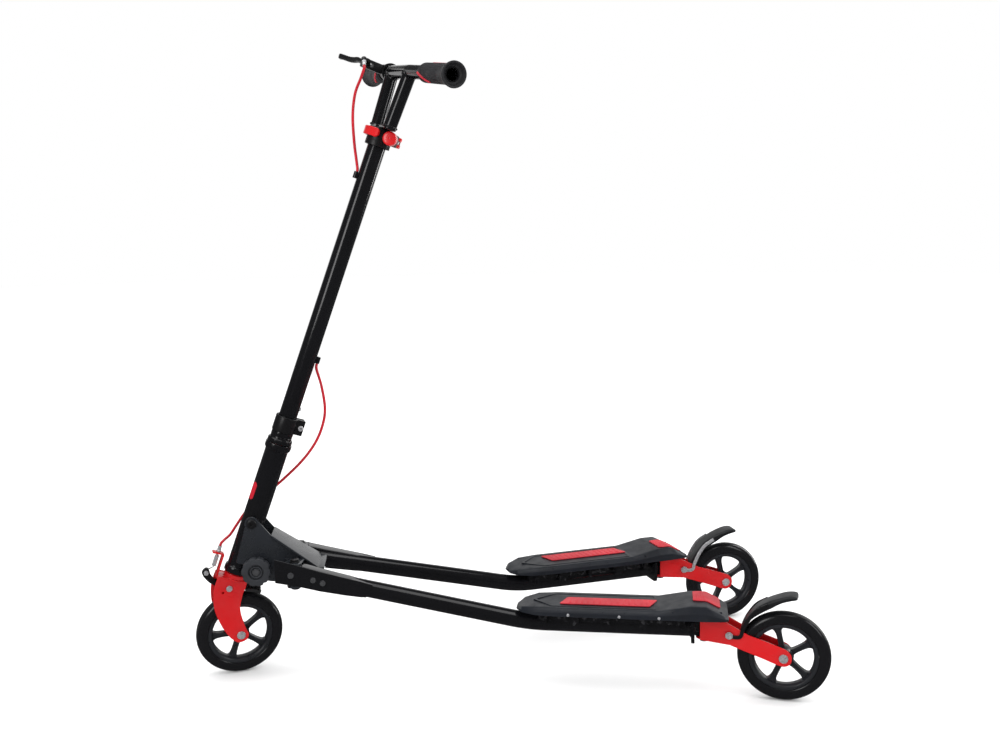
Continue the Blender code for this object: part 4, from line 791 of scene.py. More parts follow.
def plated(name, colour, rough):
    """Zinc plated steel: brushed streaks and dull patches."""
    made, tree, shader = nodes_of(name, colour, 0.65, rough)
    patches = noise(tree, 240.0, 4.0)
    shade = ramp(tree, patches.outputs["Fac"], ((0.32, tint(colour, 0.72)), (0.68, tint(colour, 1.12))))
    tree.links.new(shade, shader.inputs["Base Color"])
    streaks = noise(tree, 300.0, 2.0, stretch=(1.0, 1.0, 9.0))
    tree.links.new(spread(tree, streaks.outputs["Fac"], rough * 0.7, rough * 1.5), shader.inputs["Roughness"])
    bump(tree, shader, streaks.outputs["Fac"], 0.00003)
    return made


def tyre_rubber():
    """Cast black tyre: glossy side, and a duller, dusty and scuffed running band."""
    colour = (0.0065, 0.0065, 0.0075)
    made, tree, shader = nodes_of("cast_tyre", colour, 0.0, 0.3, specular=0.45)
    band = tree.nodes.new("ShaderNodeAttribute")
    band.attribute_name = "tread"
    scuff = noise(tree, 70.0, 6.0, 0.65)
    dust = spread(tree, scuff.outputs["Fac"], 0.25, 1.0, 0.35, 0.65)
    worn = product(tree, band.outputs["Fac"], dust)
    shade = ramp(tree, worn, ((0.0, colour), (0.5, (0.011, 0.011, 0.012)), (1.0, (0.024, 0.023, 0.022))))
    tree.links.new(shade, shader.inputs["Base Color"])
    tree.links.new(spread(tree, worn, 0.20, 0.62, 0.0, 1.0), shader.inputs["Roughness"])
    bump(tree, shader, scuff.outputs["Fac"], 0.00006)
    return made


def make_looks():
    """Every material of the scooter, by name."""
    return {
        "gloss_black": paint("gloss_black_paint", (0.0045, 0.0045, 0.0055), 0.16, 0.30, 0.40, 0.000012,
                             (0.06, 0.06, 0.065)),
        "frame_black": paint("frame_black_paint", (0.016, 0.018, 0.022), 0.24, 0.25, 0.5, 0.000014,
                             (0.08, 0.08, 0.085)),
        "satin_black": paint("satin_black_metal", (0.0055, 0.0055, 0.0065), 0.34, 0.0, 0.5, 0.000010,
                             (0.12, 0.12, 0.125)),
        "red": paint("bright_red_paint", (0.500, 0.0062, 0.0085), 0.22, 0.45, 0.45, 0.000012,
                     (0.42, 0.02, 0.02), 0.4),
        "steel": plated("zinc_plated_steel", (0.62, 0.62, 0.64), 0.26),
        "dark_steel": plated("dark_bolt_steel", (0.105, 0.106, 0.112), 0.34),
        "grip": moulded("grip_rubber", (0.017, 0.017, 0.020), 0.52, 0.00008, 900.0, 0.5),
        "rubber": moulded("brake_rubber", (0.014, 0.014, 0.015), 0.60, 0.00008, 700.0, 0.4),
        "tyre": tyre_rubber(),
        "rim": moulded("rim_plastic", (0.014, 0.015, 0.018), 0.30, 0.00002, 1500.0, 0.55),
        "deck": moulded("deck_plastic", (0.010, 0.012, 0.017), 0.40, 0.00004, 1300.0, 0.35, 0.5),
        "fender": moulded("fender_plastic", (0.008, 0.009, 0.011), 0.42, 0.00003, 1300.0, 0.5),
        "knob": moulded("knob_plastic", (0.023, 0.025, 0.030), 0.50, 0.00004, 1200.0, 0.45),
        "pad": moulded("pad_red_rubber", (0.460, 0.022, 0.034), 0.55, 0.00007, 1100.0, 0.35, 0.1),
        "accent": moulded("grip_red_rubber", (0.430, 0.010, 0.024), 0.45, 0.00005, 1000.0, 0.4, 0.1),
        "cable": moulded("crimson_cable", (0.420, 0.006, 0.016), 0.28, 0.00001, 1200.0, 0.5, 0.0),
        "stripe": moulded("red_stripe", (0.420, 0.008, 0.020), 0.24, 0.00001, 1200.0, 0.5, 0.0),
    }


# Wheels

def wheel(tag, body, where, turn):
    """Cast tyre, five-spoke rim with an open hub, and bearings, round the Y axis."""
    build_tyre(tag, body, where)
    build_rim(tag, body, where, turn)
    build_bearings(tag, body, where)


def build_tyre(tag, body, where):
    """Tyre with lips on both sides, and a value on its points that marks the running band."""
    seat = RIM_RADIUS + GAP
    half = TYRE_WIDTH / 2
    crown = WHEEL_RADIUS - TYRE_CROWN
    lip = [(seat, half * 0.86), (seat + 0.0011, half * 0.95), (seat + 0.0030, half),
           (seat + 0.0046, half * 0.985)]
    profile = [(radius, -across) for radius, across in lip]
    for k in range(TYRE_ARC + 1):
        angle = -pi / 2 + pi * k / TYRE_ARC
        profile.append((crown + TYRE_CROWN * cos(angle), half * sin(angle)))
    profile += lip[::-1]
    shape = ring(profile, ORIGIN, ACROSS, WHEEL_STEPS, 0)
    tread = shape.attributes.new("tread", "FLOAT", "POINT")
    values = []
    for vertex in shape.vertices:
        off_centre = abs(vertex.co.y) / half
        reach = sqrt(vertex.co.x**2 + vertex.co.z**2)
        values.append(max(0.0, 1.0 - (off_centre / TREAD_SHARE) ** 4) if reach > crown else 0.0)
    tread.data.foreach_set("value", values)
    fine(f"{tag}_tyre", shape, where, body, "tyre")


def build_rim(tag, body, where, turn):
    """Rim band, hub and spokes in one piece."""
    edge = RIM_WIDTH / 2
    inner = RIM_RADIUS - RIM_DEPTH
    band = [(inner, -edge + 0.0016), (inner + 0.0020, -edge), (RIM_RADIUS, -edge), (RIM_RADIUS, edge),
            (inner + 0.0020, edge), (inner, edge - 0.0016), (inner - 0.0016, 0.0040),
            (inner - 0.0016, -0.0040)]
    shape = ring(band, ORIGIN, ACROSS, WHEEL_STEPS, 0.0007)
    bore, half = BEARING_RADIUS + GAP, HUB_WIDTH / 2
    waist = HUB_RADIUS - 0.0006
    hub = ring([(bore, -half), (waist, -half), (HUB_RADIUS + 0.0008, 0.0), (waist, half), (bore, half)],
               ORIGIN, ACROSS, 72, 0.0008)
    spokes = []
    for k in range(SPOKE_COUNT):
        angle = turn + 2 * pi * k / SPOKE_COUNT
        spokes.append(skin([spoke_section(angle, reach, wide / 2, deep)
                            for reach, wide, deep in SPOKE_STATIONS]))
    fine(f"{tag}_rim", join(shape, hub, *spokes), where, body, "rim", 28)


def build_bearings(tag, body, where):
    """The two bearings' outer races, and the sleeves between them and the plates."""
    reach = PLATE_INNER - GAP
    face = HUB_WIDTH / 2 - 0.0008
    parts = []
    for side in (-1, 1):
        race = [(0.0062, face - 0.0070), (BEARING_RADIUS, face - 0.0070), (BEARING_RADIUS, face),
                (0.0094, face), (0.0092, face - 0.0006), (0.0066, face - 0.0006), (0.0064, face),
                (0.0062, face)]
        sleeve = [(AXLE_RADIUS + GAP, 0.0), (0.0059, 0.0), (0.0059, reach), (AXLE_RADIUS + GAP, reach)]
        for outline in (race, sleeve):
            parts.append(ring([(radius, side * height) for radius, height in outline], ORIGIN, ACROSS, 48,
                              0.0002))
    fine(f"{tag}_bearings", merged(*parts), where, body, "steel")


def spoke_section(angle, reach, half, deep):
    """A spoke's outline at a distance from the hub: an H with soft ribs along both edges."""
    out = Vector((cos(angle), 0, sin(angle)))
    side = Vector((-sin(angle), 0, cos(angle)))
    rib = min(0.0021, half * 0.45)
    web = deep - 0.0017
    corner = 0.0005
    quarter = [(half, 0.0), (half, deep - corner * 1.6), (half - corner, deep), (half - rib + corner, deep),
               (half - rib, deep - corner), (half - rib - 0.0006, web), (0.0, web)]
    points = quarter + [(-x, y) for x, y in quarter[-2::-1]]
    points = points + [(-x, -y) for x, y in points[1:-1]]
    return [out * reach + side * x + Vector((0, y, 0)) for x, y in points]


def axle(node, body, where):
    """A bolt through two plates: shank, rounded hex head and lock nut, each on a washer."""
    seat = PLATE_OUTER + GAP
    shank = rod((0, -PLATE_OUTER - STUB, 0), (0, PLATE_OUTER + STUB, 0), AXLE_RADIUS)
    heads = [bolt_head((0, side * seat, 0), (0, side, 0), *AXLE_HEAD) for side in (-1, 1)]
    end = rod((0, PLATE_OUTER + 0.0028, 0), (0, PLATE_OUTER + 0.0040, 0), AXLE_RADIUS)
    fine(node, merged(shank, *heads, end), where, body, "steel")


# Frame, head and knob

def top_plate_height(x):
    """Upper face of the slanted plate."""
    front_x, front_z = TOP_PLATE_LINE
    share = (x - front_x) / (WEDGE_REAR_X - front_x)
    return front_z + (WEDGE_REAR_Z - front_z) * share


def cheek_outline():
    """Side view of the frame's cheeks, from the boss round the fold bolt."""
    hinge_x = AXIS_FOOT_X + FOLD_AT * sin(LEAN)
    hinge_z = FOLD_AT * cos(LEAN)
    low = EAR_BOTTOM - EAR_THICKNESS
    boss = [(hinge_x + CHEEK_BOSS * cos(radians(turn)), hinge_z + CHEEK_BOSS * sin(radians(turn)))
            for turn in range(200, 50, -10)]
    rest = [(TOP_PLATE_START_X, top_plate_height(TOP_PLATE_START_X) - 0.001),
            (WEDGE_REAR_X, WEDGE_REAR_Z - 0.001), (WEDGE_REAR_X, low), (0.0620, low), (0.0400, 0.1735),
            (0.0160, 0.1850), (0.0032, 0.2040)]
    return boss + soften(rest, 0.008, 5)


def cap_bolt(at, axis, seat, radius, height, socket, shank=0.0, reach=0.0):
    """A domed bolt head with a hollow socket, and its shank behind the seat."""
    profile = [(shank, seat - reach), (shank, seat)] if shank else []
    profile += [(radius - 0.0003, seat), (radius, seat + 0.0004), (radius, seat + height * 0.45)]
    for k in range(1, 7):
        angle = pi / 2 * k / 6
        profile.append((socket + (radius - socket) * cos(angle), seat + height * (0.45 + 0.55 * sin(angle))))
    profile += [(socket * 0.90, seat + height * 0.98), (socket * 0.86, seat + height * 0.45)]
    return turned(profile, at, axis, 36, 0)


def build_frame(where):
    """Cheeks, slanted plate, rear face, ears and the two bolts the arms swing on."""
    soft = 0.0008
    hinge = Vector((AXIS_FOOT_X + FOLD_AT * sin(LEAN), FOLD_AT * cos(LEAN)))
    outline = cheek_outline()
    hole = circle(hinge, 0.0048, 32)
    parts = [plate(outline, CHEEK_INNER, CHEEK_OUTER, holes=[hole], soft=soft)]
    arm = Vector((KNOB_X, KNOB_Z)) - hinge
    outer = []
    inner = []
    for step in range(22):
        spot = Matrix.Rotation(radians(-2.0 * step), 2) @ arm
        away = spot.normalized() * SLOT_HALF
        outer.append(tuple(hinge + spot - away))
        inner.append(tuple(hinge + spot + away))
    slot = slab(outer + inner[::-1], -0.0300, -0.0200)
    slot_end = rod((KNOB_X, -0.0300, KNOB_Z), (KNOB_X, -0.0200, KNOB_Z), SLOT_HALF)
    left = plate(outline, -CHEEK_OUTER, -CHEEK_INNER, holes=[hole], soft=soft)
    parts.append(cut(cut(left, slot_end), slot))

    low_x, high_x = TOP_PLATE_START_X, WEDGE_REAR_X
    front_half, rear_half = CHEEK_OUTER + 0.0008, TOP_PLATE_HALF
    rows = []
    for x, z, half, grow in ((low_x, top_plate_height(low_x), front_half, -soft),
                             (low_x + soft, top_plate_height(low_x + soft), front_half, 0.0),
                             (high_x - 0.004, top_plate_height(high_x - 0.004), rear_half, 0.0),
                             (high_x, WEDGE_REAR_Z - 0.0006, rear_half, 0.0),
                             (high_x + 0.004, WEDGE_REAR_Z - 0.0008, rear_half, 0.0),
                             (high_x + 0.009 - soft, WEDGE_REAR_Z - 0.0008, rear_half - 0.0008, 0.0),
                             (high_x + 0.009, WEDGE_REAR_Z - 0.0008, rear_half - 0.0012, -soft)):
        rows.append([(x, y, up) for y, up in rounded(-half, z - TOP_PLATE_THICKNESS - grow, half, z + grow,
                                                     soft, 3)])
    parts.append(skin(rows))
    low = EAR_BOTTOM - EAR_THICKNESS
    parts.append(moved(plate(rectangle(low, -0.0340, WEDGE_REAR_Z - 0.001, 0.0340), -0.0020, 0.0020,
                             axis="z", soft=soft),
                       Matrix.Translation((high_x - 0.0020, 0, 0)) @ Matrix.Rotation(-pi / 2, 4, "Y")))
    reach = SWING_Y + BARREL_RADIUS
    plan = [(SWING_X - 0.018, -0.0240), (SWING_X - 0.012, -reach + 0.004), (SWING_X - 0.006, -reach),
            (SWING_X + 0.006, -reach), (SWING_X + 0.011, -reach + 0.004), (SWING_X + 0.015, -0.0300)]
    plan = soften(plan + [(x, -y) for x, y in reversed(plan)], 0.006, 4, closed=True)
    holes = [circle((SWING_X, side * SWING_Y), 0.0053, 32) for side in (-1, 1)]
    for bottom in (EAR_TOP, low):
        parts.append(plate(plan, bottom, bottom + EAR_THICKNESS, axis="z", holes=holes, soft=soft))
    for side in (-1, 1):
        across = side * (CHEEK_OUTER + 0.0002)
        stations = [low_x + 0.003 + (high_x - low_x - 0.006) * k / 60 for k in range(61)]
        edge = [(x, across, top_plate_height(x) - 0.0044) for x in stations]
        parts.append(seam_weld(edge, side * 0.0006, 0.0011, (0, 1, 0)))
        stations = [SWING_X - 0.016 + 0.050 * k / 40 for k in range(41)]
        seam = [(x, across, EAR_TOP - 0.0003) for x in stations if top_plate_height(x) > EAR_TOP + 0.0060]
        parts.append(seam_weld(seam, side * 0.0006, 0.0010, (0, 1, 0)))
    fine("wedge_frame", merged(*parts), where, "frame", "frame_black", 30)
    for side, name in SIDES:
        foot = (SWING_X, side * SWING_Y)
        shape = through_bolt((*foot, low - GAP), (*foot, EAR_TOP + EAR_THICKNESS + GAP), 0.0050, SWIVEL_HEAD,
                             STUB)
        fine(f"swing_bolt_{name}", shape, where, "frame", "satin_black")


def build_head(where):
    """Head tube with cups, lug and trunnions, the fold bolts, stripe and scalloped knob."""
    bore = STEERER_RADIUS + RUN_GAP
    tube_low, tube_high = HEAD_LOW + CUP_HEIGHT, HEAD_TOP - CUP_HEIGHT
    profile = [(bore, HEAD_LOW), (CUP_RADIUS, HEAD_LOW), (CUP_RADIUS, tube_low - 0.0030),
               (CUP_RADIUS - 0.0005, tube_low), (HEAD_RADIUS + 0.0008, tube_low + 0.0014),
               (HEAD_RADIUS, tube_low + 0.0030), (HEAD_RADIUS, tube_high - 0.0030),
               (HEAD_RADIUS + 0.0008, tube_high - 0.0014), (CUP_RADIUS - 0.0005, tube_high),
               (CUP_RADIUS, tube_high + 0.0030), (CUP_RADIUS, HEAD_TOP), (bore, HEAD_TOP)]
    knob_off = (KNOB_X - AXIS_FOOT_X) * cos(LEAN) - KNOB_Z * sin(LEAN)
    knob_at = (KNOB_X - AXIS_FOOT_X) * sin(LEAN) + KNOB_Z * cos(LEAN)
    inner = CHEEK_INNER - GAP
    lug = block((HEAD_RADIUS - 0.0040, -inner, knob_at - 0.009), (knob_off + 0.009, inner, knob_at + 0.009),
                0.0015)
    parts = [ring(profile, steps=COLUMN_STEPS, soft=0.0006), lug]
    weld_radius = TRUNNION_RADIUS + 0.0003
    for side in (-1, 1):
        parts.append(turned([(TRUNNION_RADIUS, 0.0150), (TRUNNION_RADIUS, inner - 0.0004),
                             (TRUNNION_RADIUS - 0.0004, inner)], (0, 0, FOLD_AT),
                            (0, side, 0), 48, 0))
        line = []
        for k in range(64):
            angle = 2 * pi * k / 64
            across = weld_radius * cos(angle)
            line.append((across, side * sqrt(HEAD_RADIUS**2 - across**2), FOLD_AT + weld_radius * sin(angle)))
        parts.append(bead(line, 0.0011, (0, side, 0)))
    fine("head_tube", merged(*parts), where, "head", "gloss_black")
    outer = CHEEK_OUTER + GAP
    for side, name in SIDES:
        shape = cap_bolt((0, 0, FOLD_AT), (0, side, 0), outer, 0.0078, 0.0036, 0.0030, 0.0045, 0.0085)
        fine(f"fold_bolt_{name}", shape, where, "head", "satin_black")

    rows = []
    for k in range(STRIPE_STEPS + 1):
        level = STRIPE_LOW + STRIPE_LENGTH * k / STRIPE_STEPS
        grow = min(1.0, sin(pi * k / STRIPE_STEPS) * 3.0)
        half = radians(6.0 + 12.0 * grow)
        turns = [STRIPE_TURN + half * share for share in (-1.0, -0.5, 0.0, 0.5, 1.0)]
        loop = [(HEAD_RADIUS + 0.0004, turn) for turn in turns]
        loop += [(HEAD_RADIUS - 0.0006, turn) for turn in reversed(turns)]
        rows.append([(reach * cos(turn), reach * sin(turn), level) for reach, turn in loop])
    piece("head_stripe", skin(rows), where, "head", "stripe")

    lobes = []
    for k in range(KNOB_STEPS):
        angle = 2 * pi * k / KNOB_STEPS
        reach = KNOB_RADIUS - 0.0019 * max(0.0, cos(KNOB_LOBES * angle)) ** 1.6
        lobes.append((knob_off + reach * cos(angle), knob_at + reach * sin(angle)))
    face = -KNOB_FACE
    dish = circle((knob_off, knob_at), 0.0125, 64)
    shape = merged(
        plate(lobes, face, face + 0.0060, holes=[dish], soft=0.0013),
        plate(lobes, face + 0.0040, face + 0.0130, soft=0.0013),
        turned([(0.0135, 0.0115), (0.0125, 0.0140), (0.0112, KNOB_FACE - outer - 0.0004),
                (0.0108, KNOB_FACE - outer)],
               (knob_off, face, knob_at), (0, 1, 0), 48),
        ring([(0.0075, 0.0020), (0.0098, 0.0012), (0.0098, 0.0045), (0.0075, 0.0045)],
             (knob_off, face, knob_at), (0, 1, 0), 64, 0.0004))
    piece("knob_grip", shape, where, "knob", "knob", "clamping_knob", 30)
    shape = merged(bolt_head((knob_off, face + 0.0042, knob_at), (0, -1, 0), 0.0064, 0.0034),
                   rod((knob_off, -outer - 0.0030, knob_at), (knob_off, -0.0104, knob_at), 0.0040))
    piece("knob_bolt", shape, where, "knob", "dark_steel")


# Steering: fork, stem and front brake

def wheel_to_stem(point, axle_at):
    """From (back, up) of the front axle to (back, along) of the steering axis."""
    back, up = point
    return (back * cos(LEAN) - up * sin(LEAN) + TRAIL_OFFSET, back * sin(LEAN) + up * cos(LEAN) + axle_at)


def front_axle_at():
    """Where the axle sits along the steering axis for the turned wheel to touch the floor."""
    rise = sin(LEAN) * sin(STEER_AT_REST)
    tilt = atan2(rise, sqrt(1 - rise * rise))
    drop = (WHEEL_RADIUS - TYRE_CROWN) * cos(tilt) + TYRE_CROWN
    return (drop + TRAIL_OFFSET * cos(STEER_AT_REST) * sin(LEAN)) / cos(LEAN)


def build_fork(where, axle_at):
    """Two curved plates with the crown, the bent cable stop and the steerer."""
    low = [(0.0010, 0.0538), (0.0019, 0.0362), (0.0089, 0.0100), (0.0128, 0.0010), (0.0100, -0.0085),
           (0.0010, -0.0127), (-0.0080, -0.0115), (-0.0200, 0.0006), (-0.0326, 0.0242),
           (-0.0418, 0.0541), (-0.0419, 0.0826), (-0.0372, 0.1000)]
    low = [wheel_to_stem(point, axle_at) for point in low]
    rear = wheel_to_stem((0.0066, 0.0758), axle_at)
    curve = smooth_outline([rear] + low, 4)
    outline = [(CROWN_REAR_X, CROWN_TOP), (0.0195, CROWN_LOW - 0.004)] + curve + [(CROWN_FRONT_X, CROWN_TOP)]
    axle = wheel_to_stem((0, 0), axle_at)
    arm_at = wheel_to_stem((-0.0159, WHEEL_RADIUS + 0.0149), axle_at)
    spare = wheel_to_stem((-0.0262, WHEEL_RADIUS + 0.0085), axle_at)
    holes = [circle(axle, 0.0043, 32), circle(arm_at, 0.0028), circle(spare, 0.0020)]
    parts = [plate(outline, PLATE_INNER, PLATE_OUTER, holes=holes, soft=0.0009),
             plate(outline, -PLATE_OUTER, -PLATE_INNER, holes=holes, soft=0.0009),
             block((CROWN_FRONT_X, -PLATE_OUTER + 0.0006, CROWN_LOW),
                   (CROWN_REAR_X, PLATE_OUTER - 0.0006, CROWN_TOP), 0.0012)]
    race = HEAD_LOW - RUN_GAP
    parts.append(turned([(RACE_RADIUS, CROWN_TOP - 0.001), (RACE_RADIUS, race - 0.002),
                         (STEERER_RADIUS, race), (STEERER_RADIUS, RING_TOP + 0.0255)], steps=64))
    low = CROWN_LOW + 0.001
    inside = soften([(-0.0325, low), (-0.0325, STOP_TOP - 0.0028), (-0.0490, STOP_TOP - 0.0028)], 0.0016, 3)
    outside = soften([(-0.0490, STOP_TOP), (-0.0295, STOP_TOP), (-0.0295, low)], 0.0030, 4)
    tab = plate(inside + outside, -0.0060, 0.0060, soft=0.0008)
    eye = rod((CABLE_EYE_X, 0, STOP_TOP - 0.0100), (CABLE_EYE_X, 0, STOP_TOP + 0.0100), 0.0023, 24)
    parts.append(cut(tab, eye))
    for side in (-1, 1):
        line = [(-0.0280 + 0.0440 * k / 40, side * (PLATE_OUTER - 0.0004), CROWN_TOP - 0.0002)
                for k in range(41)]
        parts.append(seam_weld(line, side * 0.0005, 0.0010, UP))
    parts.append(round_weld(RACE_RADIUS + 0.0002, (0, 0, CROWN_TOP), UP, 0.0012))
    fine("fork", merged(*parts), where, "steering", "red")

    bore = STEERER_RADIUS + GAP
    profile = ((bore, RUN_GAP), (0.0205, RUN_GAP), (0.0205, 0.0076), (0.0192, 0.0086), (0.0180, 0.0090),
             (0.0180, 0.0118), (0.0174, 0.0121), (0.0174, 0.0129), (0.0180, 0.0132))
    lock = [(radius, HEAD_TOP + height) for radius, height in profile]
    lock += [(0.0180, RING_TOP), (bore, RING_TOP)]
    fine("headset_ring", ring(lock, steps=COLUMN_STEPS, soft=0.0004), where, "steering", "gloss_black")
    return arm_at


def build_stem(where):
    """Stem tube with cable stops, the collar with its bolt, and the locating button."""
    low = RING_TOP + GAP
    inner = STEERER_RADIUS + GAP
    parts = [ring(rectangle(inner, low, STEM_RADIUS, STEM_TOP), steps=COLUMN_STEPS, soft=0.0006)]
    for side, at, below, above in ((-1, FRONT_BOSS, 0.0060, 0.0050), (1, REAR_BOSS, 0.0050, 0.0060)):
        near, far = sorted((side * (STEM_RADIUS - 0.001), side * 0.0190))
        parts.append(block((near, -0.0030, at - below + 0.0008), (far, 0.0030, at + above - 0.0008), 0.0008))
        parts.append(ring([(0.0012, -below), (0.0040, -below), (0.0040, above), (0.0026, above),
                           (0.0026, above - 0.0040), (0.0012, above - 0.0040)], (side * 0.0182, 0, at),
                          (0, 0, 1 if side < 0 else -1), 40, 0.0004))
        parts.append(round_weld(0.0036, (side * (STEM_RADIUS + 0.0004), 0, at), (1, 0, 0), 0.0009, 40))
    fine("stem_tube", merged(*parts), where, "steering", "gloss_black")

    ring_in, ring_out = STEM_RADIUS + GAP, 0.0190
    ear_x, ear_half, split, bolt_x = 0.0300, 0.0085, 0.0012, 0.0247
    top = low + 0.0260
    plan = [(ear_x, ear_half)]
    plan += [(ring_out * cos(radians(turn)), ring_out * sin(radians(turn))) for turn in range(22, 339, 6)]
    plan += [(ear_x, -ear_half), (ear_x, -split), (0.0168, -split)]
    plan += [(ring_in * cos(radians(turn)), ring_in * sin(radians(turn))) for turn in range(336, 23, -6)]
    plan += [(0.0168, split), (ear_x, split)]
    bolt_at = low + 0.0130
    hole = rod((bolt_x, -0.02, bolt_at), (bolt_x, 0.02, bolt_at), 0.0028)
    shape = cut(plate(plan, low, top, axis="z", soft=0.0009), hole)
    fine("stem_collar", shape, where, "steering", "satin_black")
    seat = ear_half + GAP
    shape = merged(rod((bolt_x, -seat - STUB, bolt_at), (bolt_x, seat + 0.0040, bolt_at), 0.0025),
                   cap_bolt((bolt_x, 0, bolt_at), (0, -1, 0), seat, 0.0045, 0.0034, 0.0022),
                   bolt_head((bolt_x, seat, bolt_at), (0, 1, 0), 0.0046, 0.0032))
    fine("collar_bolt", shape, where, "steering", "steel")
    dome = [(0.0034, 0.0134), (0.0034, 0.0163)]
    dome += [(0.0034 * cos(pi / 2 * k / 6), 0.0163 + 0.0014 * sin(pi / 2 * k / 6)) for k in range(1, 6)]
    shape = turned(dome, (0, 0, BUTTON_AT), (1, 0, 0), 32, 0)
    fine("locating_button", shape, where, "steering", "steel")


def build_front_brake(where, axle_at, arm_at):
    """Cables, barrel, arm with shoe and the bolts of the front brake."""
    path = [(0.0188, 0.0000, REAR_BOSS - 0.0010), (0.0188, 0.0000, REAR_BOSS - 0.0055),
            (0.0189, 0.0000, REAR_BOSS - 0.0090), (0.0220, 0.0000, 0.5580), (0.0390, 0.0000, 0.5330),
            (0.0570, 0.0020, 0.4980), (0.0630, 0.0050, 0.4670), (0.0610, 0.0085, 0.4340),
            (0.0500, 0.0150, 0.3960), (0.0265, 0.0235, 0.3480), (0.0060, 0.0290, 0.3160),
            (-0.0100, 0.0265, 0.2880), (-0.0200, 0.0175, 0.2660), (-0.0270, 0.0105, 0.2500),
            (-0.0345, 0.0045, 0.2420), (-0.0396, 0.0002, 0.2360), (CABLE_EYE_X, 0.0000, 0.2334),
            (CABLE_EYE_X, 0.0000, 0.2300)]
    fine("cable_lower", tube(smooth_path(path, 8), CABLE_RADIUS, 20), where, "steering", "cable")
    seat = STOP_TOP + GAP
    parts = [turned([(0.0034, seat), (0.0040, seat + 0.0004), (0.0040, seat + 0.0028),
                     (0.0031, seat + 0.0036), (0.0031, seat + 0.0100), (0.0027, seat + 0.0106)],
                    (CABLE_EYE_X, 0, 0), (0, 0, 1), 40, 0.0002),
             rod((CABLE_EYE_X, 0, seat + 0.001), (CABLE_EYE_X, 0, 0.2120), 0.0020)]
    grip = [(0.0014, 0.1950), (0.0032, 0.1950), (0.0036, 0.1956), (0.0036, 0.2130), (0.0028, 0.2140),
            (0.0014, 0.2140)]
    parts.append(ring(grip, (CABLE_EYE_X, 0, 0), UP, 96, 0.0002, grooved(24, 0.00022, 0.0030)))
    fine("cable_barrel", merged(*parts), where, "steering", "steel")

    outline = [(-0.0170, 0.0213), (-0.0060, 0.0180), (0.0060, 0.0137), (0.0200, 0.0123), (0.0360, 0.0075),
               (0.0385, 0.0015), (0.0365, 0.0010), (0.0250, 0.0058), (0.0130, 0.0089), (0.0020, 0.0083),
               (-0.0080, 0.0087), (-0.0165, 0.0084), (-0.0250, 0.0105), (-0.0380, 0.0180), (-0.0480, 0.0265),
               (-0.0560, 0.0385), (-0.0560, 0.0455), (-0.0510, 0.0500), (-0.0455, 0.0485), (-0.0425, 0.0365),
               (-0.0340, 0.0265), (-0.0250, 0.0210)]
    outline = [wheel_to_stem((back, up + WHEEL_RADIUS), axle_at) for back, up in outline]
    outline = smooth_outline(outline, 3, closed=True)
    anchor = wheel_to_stem((-0.0505, WHEEL_RADIUS + 0.0430), axle_at)
    shape = plate(outline, -0.0035, 0.0035, holes=[circle(arm_at, 0.0028), circle(anchor, 0.0025)],
                  soft=0.0009)
    fine("brake_arm", shape, where, "brake_arm", "satin_black")
    inner = WHEEL_RADIUS + 0.0030
    spots = [(inner, degrees) for degrees in range(62, 82)]
    spots += [(inner + (0.0047 if degrees in (66, 71, 76) else 0.0058), degrees)
              for degrees in range(81, 61, -1)]
    arc = [wheel_to_stem((reach * cos(radians(turn)), reach * sin(radians(turn))), axle_at)
           for reach, turn in spots]
    fine("brake_shoe", plate(arc, -0.0100, 0.0100, soft=0.0005), where, "brake_arm", "rubber")
    shape = cross_bolt(arm_at, PLATE_OUTER + GAP, 0.0025, (0.0046, 0.0024, 0.0052), 0.0032)
    fine("brake_pivot_bolt", shape, where, "steering", "steel")
    shape = cross_bolt(anchor, 0.0035 + GAP, 0.0022, (0.0042, 0.0028), 0.0040)
    fine("anchor_bolt", shape, where, "brake_arm", "steel")
    line = [(anchor[0] + 0.0036, 0.0052, anchor[1] + 0.0041),
            (anchor[0] + 0.0052, 0.0052, anchor[1] + 0.0055), (-0.0412, 0.0025, anchor[1] + 0.0095),
            (CABLE_EYE_X, 0, anchor[1] + 0.0130), (CABLE_EYE_X, 0, 0.2000)]
    wire = tube(smooth_path(line, 6), 0.0010, 16)
    flexible("brake_wire", wire, where, "steel")


# Handlebar, brake lever and clamp

def bar_point(y):
    """Centre of the handlebar at a distance to the side, with its backsweep."""
    beyond = max(abs(y) - STRUT_AT_BAR, 0.0)
    return Vector((beyond * sin(BACKSWEEP) / cos(BACKSWEEP), y, BAR_AT))


